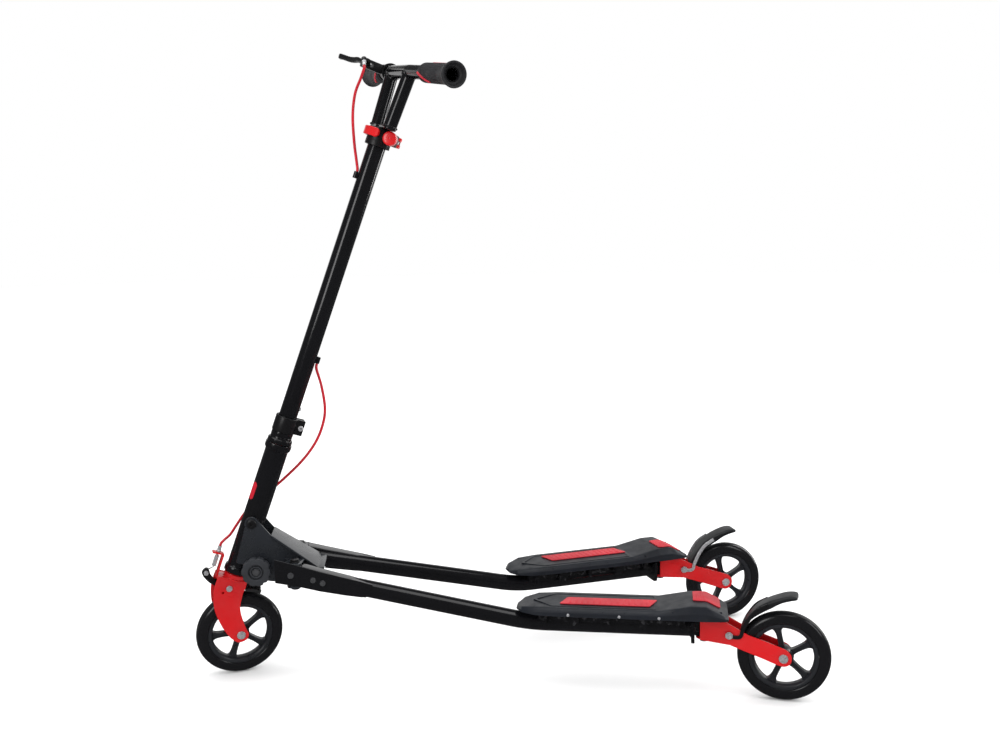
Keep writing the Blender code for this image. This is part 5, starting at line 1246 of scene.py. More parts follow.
def build_handlebar(where):
    """Hollow crossbar on two struts, the yoke and the post that slides in the stem."""
    stops = [-BAR_HALF, -0.16, -0.12, -0.08, -0.0620, -0.0560, -0.0500, -0.0440, -0.0380, -0.02]
    stops += [0.0] + [-y for y in reversed(stops)]
    parts = [tube([bar_point(y) for y in stops], BAR_RADIUS, 64, BAR_RADIUS - 0.0018),
             ring(rectangle(POST_BORE, POST_LOW, STEERER_RADIUS, YOKE_LOW + 0.004), steps=COLUMN_STEPS)]
    top = YOKE_TOP - 0.0002
    for side in (-1, 1):
        foot = Vector((0, side * STRUT_AT_YOKE, YOKE_LOW + 0.003))
        head = Vector((0, side * STRUT_AT_BAR, BAR_AT))
        along = (head - foot).normalized()
        parts.append(rod(foot, head, BAR_RADIUS, 64))
        across = Vector((1, 0, 0))
        other = along.cross(across)
        saddle = []
        rim = []
        for k in range(96):
            angle = 2 * pi * k / 96
            spot = across * cos(angle) * BAR_RADIUS + other * sin(angle) * BAR_RADIUS
            drop = sqrt(max((BAR_RADIUS * 1.03) ** 2 - spot.x**2, 0.0))
            reach = (BAR_AT - drop - foot.z - spot.z) / along.z
            saddle.append(foot + spot + along * reach)
            rim.append(foot + spot + along * ((top - foot.z - spot.z) / along.z))
        parts.append(bead(saddle, 0.0017, along))
        parts.append(bead(rim, 0.0016, along))
    half = STRUT_AT_YOKE + BAR_RADIUS + 0.0015
    plan = rounded(-0.0100, -half, 0.0100, half, 0.009, 8)
    parts.append(plate(plan, YOKE_LOW, YOKE_TOP, axis="z", soft=0.0014))
    parts.append(round_weld(STEERER_RADIUS - 0.0002, (0, 0, YOKE_LOW), UP, 0.0006))
    fine("handlebar", merged(*parts), where, "handlebar", "gloss_black")


def build_grips(where):
    """Flared rubber grips with a diamond relief, and their red accents."""
    for side, name in SIDES:
        start = bar_point(side * GRIP_INNER_END)
        along = bar_point(side * 0.2) - start
        inner = BAR_RADIUS + GAP
        rows = [(inner, 0.0), (0.0119, 0.0), (0.0128, 0.0010), (0.0139, 0.0034),
                (GRIP_RADIUS - 0.0003, 0.0062)]
        for k in range(GRIP_ROWS + 1):
            height = 0.0080 + (GRIP_LENGTH - 0.0102) * k / GRIP_ROWS
            flare = max(0.0, (height - GRIP_LENGTH + 0.0330) / 0.0308) ** 1.9
            body = GRIP_RADIUS + 0.0006 * k / GRIP_ROWS + (GRIP_FLARE - GRIP_RADIUS - 0.0006) * flare
            rows.append((body, height))
        rows += [(GRIP_FLARE - 0.0003, GRIP_LENGTH - 0.0006), (GRIP_FLARE - 0.0010, GRIP_LENGTH),
                 (GRIP_FLARE - 0.0030, GRIP_LENGTH - 0.0006), (0.0138, GRIP_LENGTH - 0.0066),
                 (0.0118, GRIP_LENGTH - 0.0080), (inner, GRIP_LENGTH - 0.0082)]

        def relief(angle, radius, height):
            """Low diamonds pressed into the middle of the grip."""
            first, last = GRIP_RELIEF
            if radius < GRIP_RADIUS - 0.0002 or height < first or height > last:
                return radius
            wave = cos(16 * angle + height * 620) * cos(16 * angle - height * 620)
            fade = min(1.0, (height - first) / 0.006, (last - height) / 0.006)
            return radius - 0.00042 * fade * max(0.0, wave) ** 0.7

        shape = ring(rows, start, along, 128, 0.0002, relief)
        fine(f"grip_{name}", shape, where, "handlebar", "grip", 40)
        up = Vector((0, 0, 1))
        out = along.normalized()
        front = out.cross(up) * (1 if side < 0 else -1)
        lines = []
        for begin, finish, first, last, thick in ((76, 76, 0.0300, 0.0780, 0.0010),
                                                  (-20, -78, 0.0070, 0.0400, 0.0024)):
            path = []
            for k in range(25):
                turn = radians(begin + (finish - begin) * k / 24)
                away = front * cos(turn) + up * sin(turn)
                path.append(start + out * (first + (last - first) * k / 24)
                            + away * (GRIP_RADIUS - thick * 0.3))
            lines.append(tube(path, thick, 12))
        piece(f"grip_{name}_accent", merged(*lines), where, "handlebar", "accent")


def build_brake_lever(where):
    """Lever, bracket and adjuster in front of the right grip, and the upper cable."""
    low, high = BAR_AT - 0.0080, BAR_AT + 0.0070
    lever_low, lever_high = BAR_AT - 0.0035, BAR_AT + 0.0025
    start, end = bar_point(0.0640), bar_point(0.0775)
    centre = (start + end) / 2
    along = (end - start).normalized()
    half = (end - start).length / 2
    pin_at = (-0.0400, 0.0740)
    plan = soften([(-0.0490, 0.0630), (-0.0120, 0.0645), (-0.0120, 0.0770), (-0.0380, 0.0795),
                   (-0.0490, 0.0790)], 0.005, 5, closed=True)
    aim_from = Vector((-0.0480, 0.0690, BAR_AT + 0.0070))
    aim = (Vector((-0.0465, 0.0540, BAR_AT - 0.0080)) - aim_from).normalized()
    body = plate(plan, low, high, axis="z", soft=0.0016)
    slot = slab(rectangle(-0.0600, 0.0600, -0.0300, 0.0900), lever_low - GAP, lever_high + GAP, axis="z")
    body = cut(body, slot)
    parts = [ring(rectangle(BAR_RADIUS + GAP, -half, 0.0150, half), centre, along, 80, 0.0010), body,
             rod((*pin_at, low + 0.001), (*pin_at, high - 0.001), 0.0022),
             bolt_head((*pin_at, high - 0.0006), (0, 0, 1), 0.0036, 0.0020),
             ring([(0.0025, 0.0016), (0.0042, 0.0016), (0.0046, 0.0082), (0.0025, 0.0082)], aim_from, aim,
                  48, 0.0006)]
    bolt_at = Vector((0.0118, (start.y + end.y) / 2, BAR_AT))
    parts.append(block(bolt_at - Vector((0.0016, 0.0046, 0.0060)),
                       bolt_at + Vector((0.0068, 0.0046, 0.0060)), 0.0010))
    fine("lever_bracket", merged(*parts), where, "handlebar", "satin_black")
    blade = [(-0.0345, 0.0690), (-0.0335, 0.0780), (-0.0385, 0.0900), (-0.0440, 0.1150), (-0.0495, 0.1400),
             (-0.0545, 0.1640), (-0.0555, 0.1740), (-0.0600, 0.1780), (-0.0650, 0.1740), (-0.0620, 0.1600),
             (-0.0560, 0.1350), (-0.0510, 0.1100), (-0.0480, 0.0900), (-0.0465, 0.0740), (-0.0440, 0.0690)]
    blade = smooth_outline(blade, 4, closed=True)
    shape = plate(blade, lever_low, lever_high, axis="z", holes=[circle(pin_at, 0.0025)], soft=0.0018)
    middle = (lever_low + lever_high) / 2
    for vertex in shape.vertices:
        share = max(0.0, (vertex.co.y - 0.0830) / 0.0950)
        rise = 0.0062 * min(1.0, share * 4.0) - 0.0030 * sin(pi * min(1.0, share)) ** 2
        vertex.co.z = middle + (vertex.co.z - middle) * (1.0 + 0.45 * min(1.0, share * 4.0)) + rise
    shape = merged(shape, turned([(0.0014, -0.0046), (0.0034, -0.0036), (0.0047, -0.0014), (0.0048, 0.0010),
                                  (0.0036, 0.0034), (0.0014, 0.0046)], (-0.0602, 0.1738, middle + 0.0060),
                                 (0, 0, 1), 32))
    fine("brake_lever", shape, where, "brake_lever", "satin_black")
    knurl = [(0.0022, 0.0020), (0.0022, 0.0084), (0.0036, 0.0086), (0.0038, 0.0089), (0.0038, 0.0122),
             (0.0031, 0.0130), (0.0031, 0.0186), (0.0027, 0.0190)]
    shape = ring([(0.0010, 0.0020)] + knurl + [(0.0010, 0.0190)], aim_from, aim, 96, 0.0002,
                 grooved(20, 0.00024, 0.0034))
    fine("cable_adjuster", shape, where, "handlebar", "steel")
    path = [aim_from + aim * reach for reach in (0.0185, 0.0220, 0.0250)]
    path += [Vector(point) for point in (
        (-0.0473, 0.0480, BAR_AT - 0.0280), (-0.0490, 0.0450, BAR_AT - 0.0550),
        (-0.0440, 0.0340, STEM_TOP + 0.0240), (-0.0320, 0.0180, STEM_TOP - 0.0160),
        (-0.0215, 0.0060, FRONT_BOSS + 0.0190), (CABLE_SEAT_X, 0.0003, FRONT_BOSS + 0.0085),
        (CABLE_SEAT_X, 0.0000, FRONT_BOSS + 0.0020))]
    cable = tube(smooth_path(path, 8), CABLE_RADIUS, 20)
    flexible("cable_upper", cable, where, "cable")


def build_clamp(where):
    """Top clamp of the stem with the red cap and the curved quick-release lever."""
    low, high = CLAMP_LOW, CLAMP_HIGH
    shoulder = STEM_TOP + GAP
    at = CLAMP_BOLT_AT
    wide, narrow = STEM_RADIUS + GAP, STEERER_RADIUS + GAP

    def split_ring(reach, inner):
        """Plan of a clamp band with its two ears and the split between them."""
        first = CLAMP_SPLIT / inner
        turns = [first + (2 * pi - 2 * first) * k / 72 for k in range(73)]
        ear, root = CLAMP_BOLT_OFF + CLAMP_EAR, CLAMP_RADIUS * cos(0.62)
        plan = [(ear, CLAMP_EAR_HALF), (root, CLAMP_EAR_HALF)]
        plan += [(reach * cos(turn), reach * sin(turn)) for turn in turns if 0.64 < turn < 2 * pi - 0.64]
        plan += [(root, -CLAMP_EAR_HALF), (ear, -CLAMP_EAR_HALF), (ear, -CLAMP_SPLIT)]
        plan += [(inner * cos(turn), inner * sin(turn)) for turn in reversed(turns)]
        return plan + [(ear, CLAMP_SPLIT)]

    hole = rod((CLAMP_BOLT_OFF, -0.03, at), (CLAMP_BOLT_OFF, 0.03, at), 0.0033)
    lower = plate(split_ring(CLAMP_RADIUS, wide), at - CLAMP_BAND_HALF, at + CLAMP_BAND_HALF, axis="z",
                  soft=0.0012)
    parts = [cut(lower, hole)]
    for bottom, top, inner in ((low, at - 0.0080, wide), (shoulder - 0.0002, high, narrow)):
        parts.append(ring(rectangle(inner, bottom, CLAMP_RADIUS, top), steps=COLUMN_STEPS, soft=0.0008))
    groove = slab(rectangle(0.005, -CLAMP_SPLIT, 0.05, CLAMP_SPLIT), low - 0.01, high + 0.01, axis="z")
    parts = [parts[0]] + [cut(part, groove) for part in parts[1:]]
    fine("stem_clamp", merged(*parts), where, "steering", "satin_black")

    seat = CLAMP_EAR_HALF + GAP
    eye_y = seat + 0.0105
    cap = [(0.0006, 0.0), (0.0055, 0.0), (0.0055, 0.0054), (0.0105, 0.0058), (0.0112, 0.0066),
           (0.0112, 0.0178), (0.0109, 0.0190), (0.0103, 0.0202), (0.0085, 0.0209), (0.0050, 0.0212),
           (0.0030, 0.0213), (0.0006, 0.0213)]
    shape = ring([(radius, seat + height) for radius, height in cap], (CLAMP_BOLT_OFF, 0, at), (0, -1, 0),
                 120, 0.0002, grooved(24, 0.00035, 0.0110, 3))
    piece("clamp_cap", shape, where, "steering", "red", "clamp_bolt")
    shank = rod((CLAMP_BOLT_OFF, -seat - 0.002, at), (CLAMP_BOLT_OFF, eye_y, at), 0.0028)
    eye = rod((CLAMP_BOLT_OFF, eye_y, at - EYE_HALF), (CLAMP_BOLT_OFF, eye_y, at + EYE_HALF), 0.0052)
    hole = rod((CLAMP_BOLT_OFF, eye_y, at - 0.02), (CLAMP_BOLT_OFF, eye_y, at + 0.02), 0.0025)
    piece("clamp_rod", cut(join(shank, eye), hole), where, "steering", "steel")

    line = [(CLAMP_BOLT_OFF, eye_y + 0.0080), (0.0120, 0.0312), (0.0000, 0.0287), (-0.0110, 0.0240),
            (-0.0195, 0.0160), (-0.0247, 0.0050), (-0.0243, -0.0070), (-0.0183, -0.0180),
            (-0.0080, -0.0258), (0.0035, -0.0300)]
    middle = high - 0.0005 - CAM_HALF
    line = smooth_path([(x, y, 0.0) for x, y in line], 5)
    rows = []
    for k, point in enumerate(line):
        normal = Vector(UP).cross(ahead_at(line, k))
        share = k / (len(line) - 1)
        tall = 0.0072 * (1.0 - 0.10 * (1 - share)) * min(1.0, 0.55 + 12 * (1 - share))
        section = rounded(-LEVER_HALF, -tall, LEVER_HALF, tall, 0.0016, 4)
        rows.append([point + normal * across + Vector((0, 0, middle + up)) for across, up in section])
    cam = rod((CLAMP_BOLT_OFF, eye_y, at - CAM_HALF), (CLAMP_BOLT_OFF, eye_y, at + CAM_HALF), CAM_RADIUS, 64,
              0.0012)
    reach_x = CLAMP_BOLT_OFF + 0.02
    slot = slab(rectangle(0.0050, 0.0, reach_x, eye_y + 0.0058), at - EYE_HALF - GAP, at + EYE_HALF + GAP,
                axis="z")
    shape = merged(cut(join(cam, skin(rows)), slot),
                   rod((CLAMP_BOLT_OFF, eye_y, at - 0.0080), (CLAMP_BOLT_OFF, eye_y, at + 0.0080), 0.0022))
    fine("clamp_lever", shape, where, "clamp_lever", "red")


# Arms, decks and casters

def build_arm(side, tag, where, to_deck):
    """Hollow bent arm with its front, cover, barrel, saddles, tail plate and swivel housing."""
    body = f"{tag}_arm"
    before, corner, after = Vector(ARM_START), Vector(ARM_BEND), Vector(ARM_END)
    start = corner + (before - corner).normalized() * ARM_BEND_REACH
    end = corner + (after - corner).normalized() * ARM_BEND_REACH
    line = [Vector(ARM_NOSE), before.lerp(Vector(ARM_NOSE), 0.35), before.lerp(start, 0.04)]
    line += [before.lerp(start, share) for share in (0.2, 0.4, 0.6, 0.8)]
    line += [start * (1 - t) ** 2 + corner * 2 * t * (1 - t) + end * t**2
             for t in (k / 16 for k in range(17))]
    line += [end.lerp(after, share) for share in (0.25, 0.5, 0.75, 1.0)]
    line = [Vector((point.x - SWING_X, side * (point.y - SWING_Y), point.z)) for point in line]
    shell = tube(line, ARM_RADIUS, 64, ARM_RADIUS - ARM_WALL)
    barrel = rod((0, 0, EAR_BOTTOM + GAP), (0, 0, EAR_TOP - GAP), BARREL_RADIUS, 64, 0.0006)
    flat_cut = [slab(rectangle(-0.06, -0.06, 0.04, 0.06), bottom, top, axis="z")
                for bottom, top in ((EAR_TOP - GAP, 0.25), (0.10, EAR_BOTTOM + GAP))]
    parts = [cut(shell, *flat_cut), barrel, cut(arm_front(side), *flat_cut), arm_cover(side)]
    bolts = []
    for x, z, size in COVER_BOLTS:
        bolts.append(bolt_head((x, side * (between(COVER_FACE, x) - 0.0002), z), (0, side, 0), size, 0.0024,
                               size + 0.0008))
    piece(f"{tag}_arm_bolts", merged(*bolts), where, body, "dark_steel")
    fittings = [
        plate_across(-0.0205, -0.0150, 0.0210, 0.0860, 0.1245),
        block((-0.0160, -0.0085, HOUSING_LOW + 0.0010), (-0.0040, 0.0085, HOUSING_TOP - 0.0010), 0.0008),
        ring([(0.0048, HOUSING_LOW), (HOUSING_RADIUS, HOUSING_LOW), (HOUSING_RADIUS, HOUSING_TOP),
              (0.0048, HOUSING_TOP)], steps=80, soft=0.0006)]
    for x in (KEEL_RIBS[1], KEEL_RIBS[3]):
        fittings.append(block((x - 0.006, -SADDLE_HALF, SADDLE_LOW),
                              (x + 0.006, SADDLE_HALF, DECK_TOP - 0.0038), 0.0010))
    for x in (KEEL_RIBS[0], KEEL_RIBS[2], KEEL_RIBS[4]):
        fittings.append(block((x - 0.0018, -SADDLE_HALF, SADDLE_LOW),
                              (x + 0.0018, SADDLE_HALF, DECK_LOW - GAP), 0.0006))
    fittings.append(block((KEEL_FRONT, -0.0125, SADDLE_LOW), (KEEL_REAR, 0.0125, DECK_LOW - GAP), 0.0010))
    for fitting in fittings:
        parts.append(moved(fitting, to_deck))
    seam = []
    for k in range(64):
        angle = 2 * pi * k / 64
        reach = ARM_RADIUS + 0.0003
        seam.append(to_deck @ Vector((-0.0207, reach * cos(angle), ARM_END[2] + reach * sin(angle))))
    parts.append(bead(seam, 0.0013, (1, 0, 0)))
    fine(f"{tag}_arm", merged(*parts), where, body, "gloss_black")


def arm_front(side):
    """Deep flat-sided front of a swing arm, from its nose to where it runs into the round tube."""
    stops = [(-0.0310, 0.0, 0.1985, 0.0190, ARM_FACE), (0.0, 0.0, 0.1915, 0.0185, ARM_FACE),
             (0.0400, 0.0046, 0.1812, 0.0168, ARM_FACE), (0.1150, 0.0131, 0.1644, 0.0134, 0.0130)]
    loops = []
    for x, y, z, tall, face in blended(stops):
        tall -= 0.0009 * max(0.0, x - 0.0900) / 0.0250
        section = rounded(y - ARM_BACK, z - tall, y + face, z + tall, 0.0022, 5)
        loops.append([(x, side * across, up) for across, up in section])
    return skin(loops)


def arm_cover(side):
    """Flat cover on the arm's outer side that hides the ears and runs out into the round tube."""
    stops = [(-0.0310, 0.1818, 0.2196), (-0.0070, 0.1757, 0.2122), (0.0410, 0.1645, 0.1979),
             (0.0800, 0.1571, 0.1872), (0.1080, 0.1530, 0.1795), (0.1260, 0.1545, 0.1740)]
    loops = []
    for x, low, high in blended(stops):
        outer = between(COVER_FACE, x)
        inner = outer - 0.0016 - 0.0040 * max(0.0, (x - 0.0400) / 0.0860)
        section = rounded(inner, low, outer, high, 0.0008, 3)
        loops.append([(x, side * across, up) for across, up in section])
    return skin(loops)


def plate_across(low_x, high_x, half, low, high):
    """An upright plate square to X with rounded corners."""
    middle, thick = (low_x + high_x) / 2, high_x - low_x
    shape = plate(rounded(low, -half, high, half, 0.006, 5), -thick / 2, thick / 2, axis="z", soft=0.0008)
    return moved(shape, Matrix.Translation((middle, 0, 0)) @ Matrix.Rotation(-pi / 2, 4, "Y"))


def build_deck(tag, where):
    """Moulded foot deck: skirt, chamfer, nose, kick, sloped tail, the step on top and the ribs below."""
    body = f"{tag}_arm"
    xs = [DECK_NOSE + step for step in (0.0, 0.0012, 0.0050, 0.0100, 0.0180, 0.0320, 0.0480, 0.0600, 0.0660,
                                        0.0900)]
    xs += [DECK_NOSE + 0.0900 + 0.0100 * k for k in range(1, 12)]
    xs += [DECK_KICK_START + step for step in (-0.0080, -0.0030, -0.0010, 0.0, 0.0014, 0.0150, 0.0300, 0.0485,
                                               0.0500, 0.0520)]
    xs += [-0.0080, DECK_TAIL_START - 0.0008, DECK_TAIL_START + 0.0012, 0.0150, DECK_TAIL - 0.0080,
           DECK_TAIL - 0.0040, DECK_TAIL - 0.0008, DECK_TAIL]
    outer_rows, cavity_rows = [], []
    for k, x in enumerate(xs):
        half, top = DECK_HALF * between(DECK_SHARES, x), between(DECK_HEIGHTS, x)
        pull = 0.0007 if k in (0, len(xs) - 1) else 0.0
        lip = DECK_LOW + (top - DECK_LOW) * 0.55
        upper = [(half - pull, DECK_LOW + 0.0002), (half - pull, lip - 0.0006),
                 (half - 0.0004 - pull, lip + 0.0002), (half - 0.0050, top - 0.0006),
                 (half - 0.0058, top - 0.0002), (half - 0.0066, top), (half - 0.0120, top),
                 (half - 0.0180, top)]
        outer_rows.append([(x, y, z) for y, z in upper + [(-y, z) for y, z in reversed(upper)]])
        held = min(max(x, DECK_NOSE + 0.0042), DECK_TAIL - 0.0034)
        if not cavity_rows or held > cavity_rows[-1][0][0]:
            inner = [(half - DECK_WALL, DECK_LOW - 0.0098), (half - DECK_WALL, lip - 0.0010),
                     (half - 0.0076, top - DECK_WALL)]
            cavity_rows.append([(held, y, z) for y, z in inner + [(-y, z) for y, z in reversed(inner)]])
    shell = cut(skin(outer_rows), skin(cavity_rows))
    parts = [shell]
    for x in DECK_RIBS:
        parts.append(block((x - 0.0010, -DECK_HALF + 0.0020, DECK_LOW + 0.0010),
                           (x + 0.0010, DECK_HALF - 0.0020, between(DECK_HEIGHTS, x) - 0.0020), 0.0004))
    for y in (-0.0300, 0.0300):
        parts.append(block((DECK_NOSE + 0.0300, y - 0.0009, DECK_LOW + 0.0020),
                           (DECK_TAIL - 0.0100, y + 0.0009, DECK_LOW + 0.0120), 0.0004))
    parts.append(plateau_step())
    fine(f"{tag}_deck", merged(*parts), where, body, "deck", 24)


def build_pads(side, tag, where):
    """Ribbed red rubber pads on the deck's plateau and bent over its tail."""
    body = f"{tag}_arm"
    top = DECK_TOP + PAD_STEP
    plan = [(-0.2300, side * 0.0210), (-0.2190, side * -0.0100), (-0.0740, side * -0.0100),
            (-0.0860, side * 0.0210)]
    plan = soften(plan, 0.0035, 5, closed=True)
    pad_parts = [plate(plan, top, top + 0.0017, axis="z", soft=0.0005)]
    for k in range(14):
        x = -0.2130 + 0.0095 * k
        pad_parts.append(block((x - 0.0016, -0.0065 if side > 0 else -0.0175, top + 0.0012),
                               (x + 0.0016, 0.0175 if side > 0 else 0.0065, top + 0.0021), 0.0003))
    fine(f"{tag}_front_pad", merged(*pad_parts), where, body, "pad")
    slope = atan2(DECK_KICK_TOP - DECK_TAIL_TOP, DECK_TAIL - DECK_TAIL_START)
    rows = []
    turn_at = DECK_TAIL_START
    pad_middle = side * -PAD_OFFSET
    line = [(x, DECK_KICK_TOP) for x in (-0.0180, -0.0100, turn_at - 0.0030)]
    line += [(turn_at + 0.0006, DECK_KICK_TOP - 0.0006)]
    line += [(turn_at + reach * cos(slope), DECK_KICK_TOP - reach * sin(slope))
             for reach in (0.0034, 0.0120, 0.0200, 0.0238)]
    line = [Vector((x, 0.0, z)) for x, z in line]
    for k, point in enumerate(line):
        normal = ahead_at(line, k).cross(Vector((0.0, 1.0, 0.0)))
        half = PAD_HALF - (0.0020 if k in (0, len(line) - 1) else 0.0)
        section = rounded(pad_middle - half, 0.0003, pad_middle + half, 0.0020, 0.0006, 3)
        rows.append([point + Vector((0, y, 0)) + normal * up for y, up in section])
    pad_parts = [skin(rows)]
    for k in range(5):
        x = -0.0150 + 0.0036 * k
        pad_parts.append(block((x - 0.0008, pad_middle - 0.0190, DECK_KICK_TOP + 0.0016),
                               (x + 0.0008, pad_middle + 0.0190, DECK_KICK_TOP + 0.0024), 0.0003))
    fine(f"{tag}_rear_pad", merged(*pad_parts), where, body, "pad")

def build_deck_bolts(side, tag, where):
    """Screws along the deck's outer edge, and the bolt that the caster swivels on."""
    body = f"{tag}_arm"
    spots = []
    for x in DECK_SCREWS:
        spots.append(turned([(0.0022, 0.0), (0.0024, 0.0003), (0.0019, 0.0010), (0.0010, 0.0013)],
                            (x, side * (DECK_HALF - 0.0002), DECK_LOW + 0.0032), (0, side, 0), 32, 0))
    piece(f"{tag}_deck_screws", merged(*spots), where, body, "steel")

    low = HOUSING_LOW - GAP - YOKE_EAR - GAP
    high = HOUSING_TOP + GAP + YOKE_EAR + GAP
    shape = through_bolt((0, 0, low), (0, 0, high), 0.0045, SWIVEL_HEAD, 0.0040)
    fine(f"{tag}_swivel_bolt", shape, where, body, "dark_steel")


def plateau_step():
    """The low step round the deck's inner plateau."""
    lines = []
    for nose, bend, wide, gap in ((-0.2760, -0.2420, 0.0320, 0.0040), (-0.2700, -0.2395, 0.0290, 0.0075)):
        rear = DECK_KICK_START - gap
        line = [(nose, 0.0), (bend, 0.0010 - wide), (rear, -0.0010 - wide), (rear, wide + 0.0010),
                (bend, wide - 0.0010)]
        lines.append(soften(line, 0.004, 4, closed=True))
    return plate(lines[0], DECK_TOP - 0.0010, DECK_TOP + 0.0006, axis="z", holes=[lines[1]], soft=0.0004)


def caster_point(point):
    """From (back, up) of a rear axle to the caster's own (back, up)."""
    return (CASTER_TRAIL + point[0], WHEEL_RADIUS + point[1])


def over_wheel(degrees, off):
    """From degrees above the wheel's rear and the distance off its tyre to the caster's (back, up)."""
    reach = WHEEL_RADIUS + off
    return caster_point((reach * cos(radians(degrees)), reach * sin(radians(degrees))))


def build_caster(tag, where):
    """Plate fork on the swivel, and the pivot of its foot brake."""
    body = f"{tag}_caster"
    low = HOUSING_LOW - GAP - YOKE_EAR
    high = HOUSING_TOP + GAP + YOKE_EAR
    line = [(-0.0540, 0.0335), (-0.0300, 0.0262), (-0.0030, 0.0170), (0.0070, 0.0120), (0.0125, 0.0030),
            (0.0110, -0.0070), (0.0040, -0.0125), (-0.0060, -0.0122), (-0.0300, -0.0036), (-0.0555, 0.0055)]
    line = smooth_outline([caster_point(point) for point in line], 4)
    outline = [(PLATE_FRONT, low + 0.001), (PLATE_FRONT, high - 0.001), (WEB_X + 0.0140, high)] + line
    outline += [(WEB_X + 0.0210, low - 0.0037)]
    half = PLATE_OUTER
    axle_at = caster_point((0, 0))
    brake_at = over_wheel(*BRAKE_PIVOT)
    holes = [circle(axle_at, 0.0043, 32), circle(brake_at, 0.0033)]
    parts = [plate(outline, PLATE_INNER, half, holes=holes, soft=0.0009),
             plate(outline, -half, -PLATE_INNER, holes=holes, soft=0.0009),
             block((WEB_X, -half + 0.0005, low), (WEB_X + 0.0040, half - 0.0005, high), 0.0010)]
    for under in (low, HOUSING_TOP + GAP):
        plan = [(YOKE_EAR_RADIUS * cos(radians(turn)), YOKE_EAR_RADIUS * sin(radians(turn)))
                for turn in range(96, 265, 8)]
        plan += [(WEB_X + 0.002, -half + 0.0008), (WEB_X + 0.002, half - 0.0008)]
        parts.append(plate(plan, under, under + YOKE_EAR, axis="z", holes=[circle((0, 0), 0.0048, 32)],
                           soft=0.0008))
    fine(f"{tag}_caster_fork", merged(*parts), where, body, "red")
    shape = cross_bolt(brake_at, half + 0.0025, 0.0030, (0.0054, 0.0028, 0.0060), 0.0036)
    fine(f"{tag}_brake_pivot", shape, where, body, "steel")


def build_foot_brake(tag, where):
    """Fender over the wheel, hollow below, and its two side arms."""
    body = f"{tag}_foot_brake"
    top_line = [(150.0, 0.0056), (142.0, 0.0078), (133.4, 0.0108), (119.5, 0.0164), (105.4, 0.0206),
                (92.0, 0.0258), (85.0, 0.0288), (80.5, 0.0294), (78.2, 0.0282)]
    low_line = [(150.0, 0.0030), (140.0, 0.0036), (128.0, 0.0052), (114.3, 0.0068), (104.0, 0.0100),
                (94.0, 0.0166), (86.0, 0.0212), (80.8, 0.0244), (78.4, 0.0266)]
    rows, inner_rows = [], []
    top_path = smooth_path([(*over_wheel(*point), 0.0) for point in top_line], 5)
    low_path = smooth_path([(*over_wheel(*point), 0.0) for point in low_line], 5)
    for k in range(FENDER_ROWS + 1):
        above = top_path[round(k * (len(top_path) - 1) / FENDER_ROWS)]
        below = low_path[round(k * (len(low_path) - 1) / FENDER_ROWS)]
        share = k / FENDER_ROWS
        wide = 0.0105 + 0.0060 * min(1.0, share / 0.62)
        if share > 0.93:
            wide = wide * (1.0 - 0.5 * ((share - 0.93) / 0.07) ** 2)
        span = (above - below).length
        corner = min(FENDER_CORNER, span * 0.42) / span
        for kept, half, shift, stretch in ((rows, wide, 0.0, 1.0),
                                           (inner_rows, wide - FENDER_WALL, (FENDER_WALL + 0.0004) / span,
                                            1.35)):
            loop = []
            for t, y in fin_section(half, corner):
                t = shift + t * stretch
                loop.append((above.x + (below.x - above.x) * t, y, above.y + (below.y - above.y) * t))
            kept.append(loop)
    shell = cut(skin(rows), skin(inner_rows[2:-3]))
    seat_line = [over_wheel(*point)
                 for point in ((128.5, 0.0114), (117.5, 0.0156), (118.5, 0.0084), (127.5, 0.0070))]
    shape = merged(shell, slab(seat_line, -0.0070, 0.0070))
    fine(f"{tag}_fender", shape, where, body, "fender", 38)

    centre_line = [over_wheel(*point) for point in SIDE_ARM_LINE]
    centre_line = smooth_path([(x, z, 0.0) for x, z in centre_line], 6)
    above, below = [], []
    for k, point in enumerate(centre_line):
        normal = Vector(UP).cross(ahead_at(centre_line, k)) * SIDE_ARM_HALF
        above.append(tuple(point + normal)[:2])
        below.append(tuple(point - normal)[:2])
    arms = []
    for level in (-1, 1):
        near, far = sorted((level * (PLATE_OUTER + 0.0005), level * (PLATE_OUTER + 0.0023)))
        arms.append(plate(above + below[::-1], near, far, holes=[circle(over_wheel(*BRAKE_PIVOT), 0.0032)],
                          soft=0.0006))
    # Painted shade: the same stay is satin black on the left caster, which stood in shadow, and steel on the
    # right caster.
    fine(f"{tag}_fender_stay", merged(*arms), where, body, "steel" if tag == "right" else "satin_black")


def fin_section(wide, corner):
    """Rounded section of the fender: (share from its top to its bottom, across) pairs."""
    points = [(1.0, -wide), (0.75, -wide)]
    for k in range(7):
        angle = pi / 2 * k / 6
        points.append((corner * (1 - sin(angle)), -wide + FENDER_CORNER * (1 - cos(angle))))
    return points + [(t, -y) for t, y in reversed(points)]


# Stage, lights and camera

